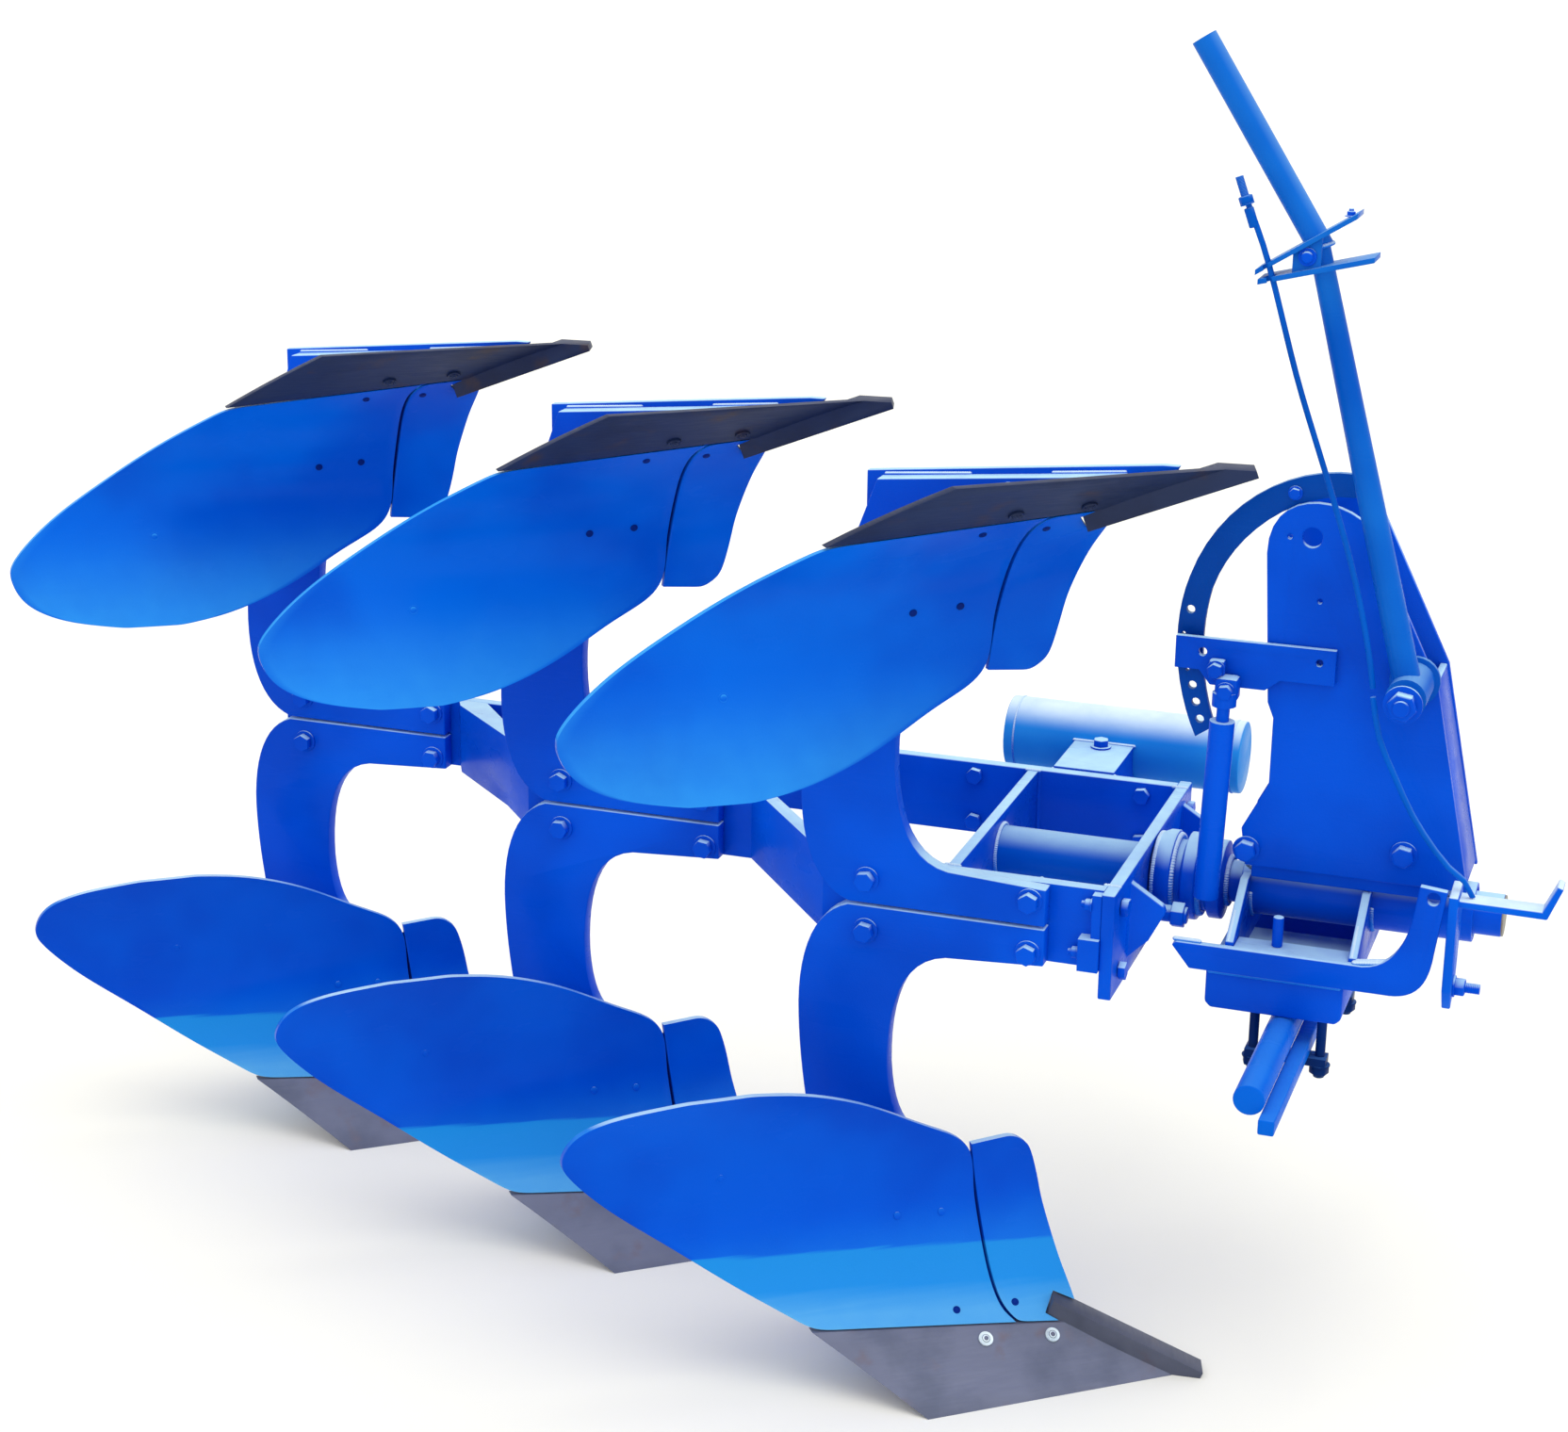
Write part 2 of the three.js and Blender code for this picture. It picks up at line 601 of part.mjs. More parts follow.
function turnoverFrame() {
  const frame = new THREE.Group();
  add(frame, "near_beam", nearBeam(), BLUE);
  add(frame, "far_beam", farBeam(), BLUE);
  add(frame, "rear_cross_plate", crossPlate(CROSS_REAR_X, CROSS_T), BLUE);
  add(frame, "front_plate", join(frontPlate(), frontGusset(-1), frontGusset(1)), BLUE);
  add(frame, "shaft_sleeve", shaftSleeve(), PALE_BLUE);
  add(frame, "turnover_shaft", hub(), BLUE);
  add(frame, "stop_rod", stopRod(), BLUE);
  add(frame, "counterweight", counterweight(), PALE_BLUE);
  add(frame, "counterweight_saddle", counterweightSaddle(), BLUE);
  frame.add(ploughBodies());
  return frame;
}

function headstock() {
  const head = new THREE.Group();
  add(head, "bearing_tube", join(bearingTube(), mastSeat()), BLUE);
  add(head, "mast_plate_near", mastPlate(-1), BLUE);
  add(head, "mast_plate_far", mastPlate(1), BLUE);
  add(head, "mast_front_wall", mastFrontWall(), PALE_BLUE);
  add(head, "quadrant_arc", quadrantArc(), BLUE);
  add(head, "quadrant_bar", quadrantBar(), BLUE);
  add(head, "strut", strut(), BLUE);
  add(head, "cross_gusset_rear", crossGusset(GUSSET_REAR_X), BLUE);
  add(head, "cross_gusset_front", crossGusset(GUSSET_FRONT_X), BLUE);
  add(head, "hitch_rail_near", hitchRail(-1), BLUE);
  add(head, "hitch_rail_far", hitchRail(1), BLUE);
  add(head, "hitch_box", hitchBox(), BLUE);
  add(head, "crossbar", crossbar(), PALE_BLUE);
  add(head, "crossbar_keeper", crossbarKeeper(), PALE_BLUE);
  add(head, "clamp_bolts_near", clampBolts(-1), DARK);
  add(head, "clamp_bolts_far", clampBolts(1), DARK);
  add(head, "latch", join(latchPlate(), latchPedal()), PALE_BLUE);
  add(head, "cable_lower", cable(CABLE_LOW), BLUE);
  return head;
}

function controlLever() {
  const control = new THREE.Group();
  add(control, "control_lever", lever(), BLUE);
  add(control, "cable_upper", cable(CABLE_TOP), BLUE);
  return control;
}

const plough = new THREE.Group();
plough.add(turnoverFrame(), headstock(), controlLever());
plough.position.set(-ORIGIN_X, -ORIGIN_Y, AXIS_HEIGHT);

export default plough;
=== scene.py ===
"""Looks of a mounted three-furrow reversible mouldboard plough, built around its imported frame."""

import logging
import math
import random
from dataclasses import dataclass, field
from enum import Enum
from typing import Iterable, Sequence

import bpy
from mathutils import Matrix, Vector

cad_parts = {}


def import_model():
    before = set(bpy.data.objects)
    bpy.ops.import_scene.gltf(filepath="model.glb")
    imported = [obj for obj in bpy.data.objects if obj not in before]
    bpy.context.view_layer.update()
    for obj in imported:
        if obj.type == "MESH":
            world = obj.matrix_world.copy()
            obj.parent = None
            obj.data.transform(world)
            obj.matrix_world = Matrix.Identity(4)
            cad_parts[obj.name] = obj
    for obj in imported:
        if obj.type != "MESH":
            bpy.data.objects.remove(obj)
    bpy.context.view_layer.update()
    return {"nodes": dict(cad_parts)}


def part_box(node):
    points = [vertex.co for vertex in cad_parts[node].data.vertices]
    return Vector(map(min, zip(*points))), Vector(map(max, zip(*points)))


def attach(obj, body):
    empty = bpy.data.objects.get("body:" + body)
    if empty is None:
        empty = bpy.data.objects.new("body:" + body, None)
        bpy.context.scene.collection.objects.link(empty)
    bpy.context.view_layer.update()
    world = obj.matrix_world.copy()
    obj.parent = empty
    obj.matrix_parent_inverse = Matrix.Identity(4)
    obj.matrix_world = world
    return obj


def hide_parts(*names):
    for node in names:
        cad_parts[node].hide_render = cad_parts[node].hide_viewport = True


log = logging.getLogger("plough")
Colour = tuple[float, float, float]
Point = tuple[float, float, float]
MM = 0.001
ACROSS_THE_ROW: Point = (0.381, 0.924, 0.0)
# Painted highlight on the rims that face straight up: its amount, and the upward lean of a face where
# it begins and where it is full.
RIM_AMOUNT = 0.8
RIM_FROM = 0.84
RIM_FULL = 0.97


class Body(Enum):
    """The three bodies that move against each other."""

    HEADSTOCK = "headstock"
    TURNOVER = "turnover_frame"
    LEVER = "control_lever"


class Slot(Enum):
    """Finishes that the record names."""

    FRAME = "frame_paint"
    BOARD = "board_paint"
    STEEL = "worn_steel"
    FASTENER = "dark_fastener"
    CABLE = "painted_cable"


class Level(Enum):
    """The two mirrored sets of plough bodies, with the sign of their height about the axis."""

    LOWER = 1
    UPPER = -1


# Node groups that more than one finish uses.


class GroupMaker:
    """Builds a shader node group, one named socket and node at a time."""

    def __init__(self, name: str) -> None:
        """Starts an empty group.

        Args:
            name: what the group is called in the materials.
        """
        self.tree = bpy.data.node_groups.new(name, "ShaderNodeTree")
        self.sources: dict[str, bpy.types.NodeSocket] = {}
        self.into = self.tree.nodes.new("NodeGroupInput")
        self.out = self.tree.nodes.new("NodeGroupOutput")

    def socket(self, name: str, kind: str, given: bool) -> None:
        """Adds one socket.

        Args:
            name: the socket's name.
            kind: Float or Color or Vector.
            given: True for an input, False for an output.
        """
        self.tree.interface.new_socket(
            name=name, in_out="INPUT" if given else "OUTPUT", socket_type=f"NodeSocket{kind}"
        )

    def node(self, kind: str, **settings: object) -> bpy.types.Node:
        """Adds a node.

        Args:
            kind: the node's type without its ShaderNode prefix.
            settings: properties to set on it.

        Returns:
            The node.
        """
        made = self.tree.nodes.new(f"ShaderNode{kind}")
        for key, value in settings.items():
            setattr(made, key, value)
        return made

    def link(self, source: bpy.types.NodeSocket, target: bpy.types.NodeSocket) -> None:
        """Joins two sockets."""
        self.tree.links.new(source, target)

    def noise(
        self, scale: float | str, detail: float, stretch: Point = (1, 1, 1)
    ) -> bpy.types.NodeSocket:
        """Adds noise on the object's own coordinates.

        Args:
            scale: its scale, or the name of the group's input that gives it.
            detail: how much fine detail it has.
            stretch: scale of the coordinates along X, Y and Z.

        Returns:
            The noise's value socket.
        """
        place = self.node("TexCoord")
        mapping = self.node("Mapping")
        mapping.inputs["Scale"].default_value = stretch
        noise = self.node("TexNoise")
        noise.inputs["Detail"].default_value = detail
        self.link(place.outputs["Object"], mapping.inputs["Vector"])
        self.link(mapping.outputs["Vector"], noise.inputs["Vector"])
        if isinstance(scale, str):
            self.link(self.into.outputs[scale], noise.inputs["Scale"])
        else:
            noise.inputs["Scale"].default_value = scale
        return noise.outputs["Fac"]

    def ramp(self, source: bpy.types.NodeSocket, low: float, high: float) -> bpy.types.NodeSocket:
        """Spreads a range of values smoothly over 0 to 1.

        Args:
            source: the value.
            low: what becomes 0.
            high: what becomes 1.

        Returns:
            The spread value.
        """
        spread = self.node("MapRange", interpolation_type="SMOOTHSTEP")
        spread.inputs["From Min"].default_value = low
        spread.inputs["From Max"].default_value = high
        self.link(source, spread.inputs["Value"])
        return spread.outputs["Result"]

    def blend(
        self,
        factor: bpy.types.NodeSocket,
        first: bpy.types.NodeSocket,
        second: bpy.types.NodeSocket,
    ) -> bpy.types.NodeSocket:
        """Mixes two colours.

        Args:
            factor: 0 for the first and 1 for the second.
            first: a colour socket.
            second: another colour socket.

        Returns:
            The mixed colour.
        """
        mix = self.node("Mix", data_type="RGBA")
        self.link(factor, mix.inputs["Factor"])
        self.link(first, mix.inputs["A"])
        self.link(second, mix.inputs["B"])
        return mix.outputs["Result"]

    def product(
        self, first: bpy.types.NodeSocket, second: bpy.types.NodeSocket
    ) -> bpy.types.NodeSocket:
        """Multiplies two values.

        Args:
            first: a value socket.
            second: another value socket.

        Returns:
            Their product.
        """
        times = self.node("Math", operation="MULTIPLY")
        self.link(first, times.inputs[0])
        self.link(second, times.inputs[1])
        return times.outputs["Value"]


def enamel_tone_group() -> bpy.types.NodeTree:
    """Paint that varies in tone, with brush marks and the fine peel of a sprayed coat."""
    made = GroupMaker("enamel_tone")
    for name in ("Paint", "Deep"):
        made.socket(name, "Color", True)
    for name in ("Brush Scale", "Dull", "Gloss"):
        made.socket(name, "Float", True)
    made.socket("Color", "Color", False)
    made.socket("Roughness", "Float", False)
    made.socket("Height", "Float", False)
    broad = made.ramp(made.noise(3.2, 3.0), 0.36, 0.66)
    colour = made.blend(broad, made.into.outputs["Deep"], made.into.outputs["Paint"])
    brushed = made.noise("Brush Scale", 5.0, (0.25, 1.0, 1.6))
    marks = made.ramp(brushed, 0.35, 0.7)
    rough = made.node("MapRange")
    made.link(marks, rough.inputs["Value"])
    made.link(made.into.outputs["Gloss"], rough.inputs["To Min"])
    made.link(made.into.outputs["Dull"], rough.inputs["To Max"])
    peel = made.noise(420.0, 1.0)
    height = made.node("Math", operation="MULTIPLY_ADD")
    made.link(brushed, height.inputs[0])
    height.inputs[1].default_value = 0.6
    made.link(peel, height.inputs[2])
    made.link(colour, made.out.inputs["Color"])
    made.link(rough.outputs["Result"], made.out.inputs["Roughness"])
    made.link(height.outputs["Value"], made.out.inputs["Height"])
    return made.tree


def painted_top_light_group() -> bpy.types.NodeTree:
    """Painted light from above: a pale film that lies thicker the more a face looks up."""
    made = GroupMaker("painted_top_light")
    made.socket("Under", "Color", True)
    made.socket("Film", "Color", True)
    for name in ("Amount", "Begins", "Full"):
        made.socket(name, "Float", True)
    made.socket("Color", "Color", False)
    facing = made.node("TexCoord")
    parts = made.node("SeparateXYZ")
    made.link(facing.outputs["Normal"], parts.inputs["Vector"])
    upward = made.node("MapRange", interpolation_type="SMOOTHSTEP")
    made.link(parts.outputs["Z"], upward.inputs["Value"])
    made.link(made.into.outputs["Begins"], upward.inputs["From Min"])
    made.link(made.into.outputs["Full"], upward.inputs["From Max"])
    patchy = made.node("MapRange")
    made.link(made.noise(26.0, 4.0), patchy.inputs["Value"])
    patchy.inputs["To Min"].default_value = 0.72
    patchy.inputs["To Max"].default_value = 1.12
    lightness = made.product(upward.outputs["Result"], patchy.outputs["Result"])
    share = made.product(lightness, made.into.outputs["Amount"])
    colour = made.blend(share, made.into.outputs["Under"], made.into.outputs["Film"])
    made.link(colour, made.out.inputs["Color"])
    return made.tree


def level_band_group() -> bpy.types.NodeTree:
    """A painted highlight, paler below a slightly sloping line, with streaky strokes just above its
    edge.
    """
    made = GroupMaker("level_band")
    made.socket("Under", "Color", True)
    made.socket("Band", "Color", True)
    for name in ("Height", "Slope", "Soft", "Amount"):
        made.socket(name, "Float", True)
    made.socket("Color", "Color", False)
    place = made.node("TexCoord")
    parts = made.node("SeparateXYZ")
    made.link(place.outputs["Object"], parts.inputs["Vector"])
    across = made.node("VectorMath", operation="DOT_PRODUCT")
    made.link(place.outputs["Object"], across.inputs[0])
    across.inputs[1].default_value = ACROSS_THE_ROW
    leaning = made.node("Math", operation="MULTIPLY_ADD")
    made.link(across.outputs["Value"], leaning.inputs[0])
    made.link(made.into.outputs["Slope"], leaning.inputs[1])
    made.link(parts.outputs["Z"], leaning.inputs[2])
    ragged = made.node("Math", operation="MULTIPLY_ADD")
    made.link(made.noise(34.0, 6.0, (0.12, 0.12, 5.0)), ragged.inputs[0])
    ragged.inputs[1].default_value = 0.014
    made.link(leaning.outputs["Value"], ragged.inputs[2])
    over = made.node("Math", operation="SUBTRACT")
    made.link(made.into.outputs["Height"], over.inputs[0])
    made.link(ragged.outputs["Value"], over.inputs[1])
    sharp = made.node("Math", operation="DIVIDE", use_clamp=True)
    made.link(over.outputs["Value"], sharp.inputs[0])
    made.link(made.into.outputs["Soft"], sharp.inputs[1])
    share = made.product(sharp.outputs["Value"], made.into.outputs["Amount"])
    colour = made.blend(share, made.into.outputs["Under"], made.into.outputs["Band"])
    made.link(colour, made.out.inputs["Color"])
    return made.tree


def ground_steel_group() -> bpy.types.NodeTree:
    """Bare steel with fine grinding lines, darker scale and brown patches."""
    made = GroupMaker("ground_steel")
    for name in ("Steel", "Scale Colour", "Brown"):
        made.socket(name, "Color", True)
    made.socket("Color", "Color", False)
    made.socket("Roughness", "Float", False)
    made.socket("Height", "Float", False)
    scale = made.ramp(made.noise(9.0, 6.0), 0.42, 0.7)
    colour = made.blend(scale, made.into.outputs["Steel"], made.into.outputs["Scale Colour"])
    brown = made.ramp(made.noise(21.0, 7.0), 0.56, 0.78)
    colour = made.blend(brown, colour, made.into.outputs["Brown"])
    lines = made.noise(60.0, 4.0, (0.5, 0.5, 9.0))
    rough = made.node("MapRange")
    made.link(lines, rough.inputs["Value"])
    rough.inputs["To Min"].default_value = 0.34
    rough.inputs["To Max"].default_value = 0.62
    made.link(colour, made.out.inputs["Color"])
    made.link(rough.outputs["Result"], made.out.inputs["Roughness"])
    made.link(lines, made.out.inputs["Height"])
    return made.tree


@dataclass
class SharedGroups:
    """The node groups, each built once."""

    enamel: bpy.types.NodeTree = field(default_factory=enamel_tone_group)
    # The painted top light, paler the more a face looks up.
    film: bpy.types.NodeTree = field(default_factory=painted_top_light_group)
    steel: bpy.types.NodeTree = field(default_factory=ground_steel_group)
    band: bpy.types.NodeTree = field(default_factory=level_band_group)


def group_node(
    tree: bpy.types.NodeTree, group: bpy.types.NodeTree, **values: object
) -> bpy.types.Node:
    """Places a shared group in a material.

    Args:
        tree: the material's node tree.
        group: the shared group.
        values: what its inputs are set to, with spaces as underscores.

    Returns:
        The group's node.
    """
    placed = tree.nodes.new("ShaderNodeGroup")
    placed.node_tree = group
    for key, value in values.items():
        wanted = value if isinstance(value, float) else (*value, 1.0)
        placed.inputs[key.replace("_", " ")].default_value = wanted
    return placed


def add_relief(
    tree: bpy.types.NodeTree, height: bpy.types.NodeSocket, depth: float
) -> bpy.types.NodeSocket:
    """Turns a height into a normal.

    Args:
        tree: the material's node tree.
        height: the height socket.
        depth: the bump's distance in metres.

    Returns:
        The normal socket.
    """
    bump = tree.nodes.new("ShaderNodeBump")
    bump.inputs["Strength"].default_value = 0.35
    bump.inputs["Distance"].default_value = depth
    tree.links.new(height, bump.inputs["Height"])
    return bump.outputs["Normal"]


@dataclass(frozen=True)
class Band:
    """A painted highlight band, paler below a line across a piece. Height and softness in metres."""

    colour: Colour
    height: float
    slope: float
    soft: float
    amount: float


@dataclass(frozen=True)
class Enamel:
    """Gloss paint over steel."""

    name: str
    paint: Colour
    deep: Colour
    # The four values below give the painted top light: its pale colour, how much of it, and the
    # upward lean of a face where it begins and where it is full.
    film: Colour
    film_amount: float
    film_begins: float = 0.25
    film_full: float = 0.95
    brush_scale: float = 14.0
    gloss: float = 0.24
    dull: float = 0.42
    specular: float = 0.04
    coat: float = 0.01
    relief: float = 0.0006
    # The bands and the rim colour below are painted highlights.
    bands: tuple[Band, ...] = ()
    rim: Colour | None = None

    def material(self, groups: SharedGroups) -> bpy.types.Material:
        """Builds the paint.

        Args:
            groups: the shared node groups.

        Returns:
            The material.
        """
        made = bpy.data.materials.new(self.name)
        made.use_nodes = True
        tree = made.node_tree
        shader = tree.nodes["Principled BSDF"]
        tone = group_node(
            tree,
            groups.enamel,
            Paint=self.paint,
            Deep=self.deep,
            Brush_Scale=self.brush_scale,
            Dull=self.dull,
            Gloss=self.gloss,
        )
        colour = self.with_painted_light(tree, groups, tone.outputs["Color"])
        tree.links.new(colour, shader.inputs["Base Color"])
        tree.links.new(tone.outputs["Roughness"], shader.inputs["Roughness"])
        relief = add_relief(tree, tone.outputs["Height"], self.relief)
        tree.links.new(relief, shader.inputs["Normal"])
        shader.inputs["Specular IOR Level"].default_value = self.specular
        shader.inputs["Coat Weight"].default_value = self.coat
        shader.inputs["Coat Roughness"].default_value = 0.12
        return made

    def with_painted_light(
        self,
        tree: bpy.types.NodeTree,
        groups: SharedGroups,
        paint: bpy.types.NodeSocket,
    ) -> bpy.types.NodeSocket:
        """Lays the painted highlight bands, the painted top light and the painted rim highlight over
        the paint.

        Args:
            tree: the material's node tree.
            groups: the shared node groups.
            paint: the paint's colour.

        Returns:
            The colour that shows.
        """
        layers = [
            group_node(
                tree,
                groups.band,
                Band=band.colour,
                Height=band.height,
                Slope=band.slope,
                Soft=band.soft,
                Amount=band.amount,
            )
            for band in self.bands
        ]
        film = group_node(
            tree,
            groups.film,
            Film=self.film,
            Amount=self.film_amount,
            Begins=self.film_begins,
            Full=self.film_full,
        )
        layers.append(film)
        if self.rim:
            rim_highlight_layer = group_node(
                tree, groups.film, Film=self.rim, Amount=RIM_AMOUNT, Begins=RIM_FROM, Full=RIM_FULL
            )
            layers.append(rim_highlight_layer)
        colour = paint
        for layer in layers:
            tree.links.new(colour, layer.inputs["Under"])
            colour = layer.outputs["Color"]
        return colour


@dataclass(frozen=True)
class BareSteel:
    """Ground or scaled steel with no paint."""

    name: str
    steel: Colour
    scale: Colour
    brown: Colour
    metallic: float = 0.75
    specular: float = 0.3
    relief: float = 0.0004

    def material(self, groups: SharedGroups) -> bpy.types.Material:
        """Builds the steel.

        Args:
            groups: the shared node groups.

        Returns:
            The material.
        """
        made = bpy.data.materials.new(self.name)
        made.use_nodes = True
        tree = made.node_tree
        shader = tree.nodes["Principled BSDF"]
        grain = group_node(
            tree, groups.steel, Steel=self.steel, Scale_Colour=self.scale, Brown=self.brown
        )
        tree.links.new(grain.outputs["Color"], shader.inputs["Base Color"])
        tree.links.new(grain.outputs["Roughness"], shader.inputs["Roughness"])
        relief = add_relief(tree, grain.outputs["Height"], self.relief)
        tree.links.new(relief, shader.inputs["Normal"])
        shader.inputs["Metallic"].default_value = self.metallic
        shader.inputs["Specular IOR Level"].default_value = self.specular
        return made


# Each enamel below gives its name, paint and deep tone, then its painted top light: the pale colour
# and, where given, its amount and the upward lean of a face where it begins and where it is full.
FRAME_ENAMEL = Enamel(
    "frame_enamel", (0.0, 0.09, 0.72), (0.0, 0.058, 0.55), (0.5, 0.78, 0.93), 0.95, 0.35, 0.88
)
BAR_ENAMEL = Enamel(
    "bar_enamel", (0.0, 0.16, 0.76), (0.0, 0.11, 0.64), (0.08, 0.36, 0.82), 0.3, 0.6, 1.0
)
ARC_ENAMEL = Enamel(
    "arc_enamel", (0.0, 0.07, 0.42), (0.0, 0.045, 0.3), (0.3, 0.55, 0.8), 0.6, 0.35, 0.9
)
LEVER_ENAMEL = Enamel(
    "lever_enamel", (0.006, 0.15, 0.62), (0.0, 0.085, 0.5), (0.26, 0.55, 0.78), 0.5, 0.4, 1.0
)
BOARD_ENAMEL = Enamel(
    "board_enamel",
    (0.0, 0.125, 0.73),
    (0.0, 0.075, 0.58),
    (0.04, 0.38, 0.86),
    0.8,
    0.0,
    0.6,
    gloss=0.16,
    dull=0.3,
    relief=0.0003,
)
# The lower boards' enamel: two painted highlight bands low on the board and a painted highlight on
# the rims that face up.
LOWER_BOARD_ENAMEL = Enamel(
    "lower_board_enamel",
    (0.0, 0.092, 0.67),
    (0.0, 0.06, 0.55),
    (0.02, 0.26, 0.74),
    0.6,
    0.15,
    0.8,
    gloss=0.16,
    dull=0.3,
    relief=0.0003,
    bands=(
        Band((0.012, 0.265, 0.7), 0.1713, 0.089, 0.004, 0.92),
        Band((0.16, 0.5, 0.76), 0.124, 0.094, 0.034, 0.85),
    ),
    rim=(0.55, 0.78, 0.88),
)
PALE_ENAMEL = Enamel(
    "pale_enamel",
    (0.03, 0.34, 0.8),
    (0.01, 0.22, 0.7),
    (0.74, 0.88, 0.94),
    0.95,
    0.4,
    1.0,
    gloss=0.3,
    dull=0.5,
)
SLEEVE_ENAMEL = Enamel(
    "sleeve_enamel", (0.0, 0.13, 0.66), (0.0, 0.09, 0.54), (0.42, 0.66, 0.8), 0.8, 0.4, 1.0
)
LATCH_ENAMEL = Enamel(
    "latch_enamel", (0.0, 0.12, 0.76), (0.0, 0.075, 0.6), (0.72, 0.9, 0.95), 0.97, 0.2, 0.8
)
WELD_ENAMEL = Enamel(
    "weld_enamel", (0.02, 0.22, 0.78), (0.0, 0.12, 0.62), (0.72, 0.9, 0.95), 0.9, -0.2, 0.7
)
SHARE_STEEL = BareSteel(
    "share_steel", (0.137, 0.152, 0.225), (0.095, 0.11, 0.17), (0.14, 0.12, 0.155), 0.3
)
POINT_STEEL = BareSteel(
    "point_steel", (0.09, 0.1, 0.15), (0.06, 0.07, 0.11), (0.09, 0.075, 0.1), 0.3
)
# Painted shade: a much darker copy of the share steel for the upper set, whose faces turn down away
# from the light.
SHADED_UPPER_STEEL = BareSteel(
    "upper_share_steel", (0.009, 0.022, 0.08), (0.005, 0.013, 0.055), (0.036, 0.025, 0.04), 0.2
)
BOLT_STEEL = BareSteel("bolt_steel", (0.7, 0.8, 0.84), (0.5, 0.62, 0.7), (0.46, 0.52, 0.58), 0.4)
SHAFT_STEEL = BareSteel("shaft_steel", (0.3, 0.29, 0.27), (0.2, 0.19, 0.18), (0.22, 0.17, 0.13), 0.5)
CLAMP_ENAMEL = Enamel(
    "clamp_overspray", (0.0, 0.04, 0.26), (0.0, 0.015, 0.1), (0.08, 0.24, 0.6), 0.5
)
CABLE_ENAMEL = Enamel(
    "cable_overspray",
    (0.0, 0.11, 0.6),
    (0.0, 0.07, 0.42),
    (0.3, 0.6, 0.9),
    0.4,
    brush_scale=90.0,
)
# Painted shade: a near-black blue for the strip behind each board's seam and for bolts that sit dark
# in their hollows.
SHADOWED_ENAMEL = Enamel(
    "shadowed_enamel", (0.0, 0.018, 0.2), (0.0, 0.012, 0.15), (0.0, 0.03, 0.3), 0.3
)


class Paintbox:
    """Gives each finish its one material."""

    def __init__(self) -> None:
        """Builds the shared groups."""
        self.groups = SharedGroups()
        self.made: dict[str, bpy.types.Material] = {}

    def dress(self, piece: bpy.types.Object, finish: Enamel | BareSteel, slot: Slot) -> None:
        """Paints a piece.

        Args:
            piece: what is painted.
            finish: its finish.
            slot: the record's slot for it; not used.
        """
        piece.data.materials.clear()
        self.load(piece, finish)

    def load(self, piece: bpy.types.Object, finish: Enamel | BareSteel) -> int:
        """Adds a finish to those a piece holds.

        Args:
            piece: the piece.
            finish: the finish, built when it is first asked for.

        Returns:
            The finish's number on the piece.
        """
        if finish.name not in self.made:
            self.made[finish.name] = finish.material(self.groups)
        piece.data.materials.append(self.made[finish.name])
        return len(piece.data.materials) - 1


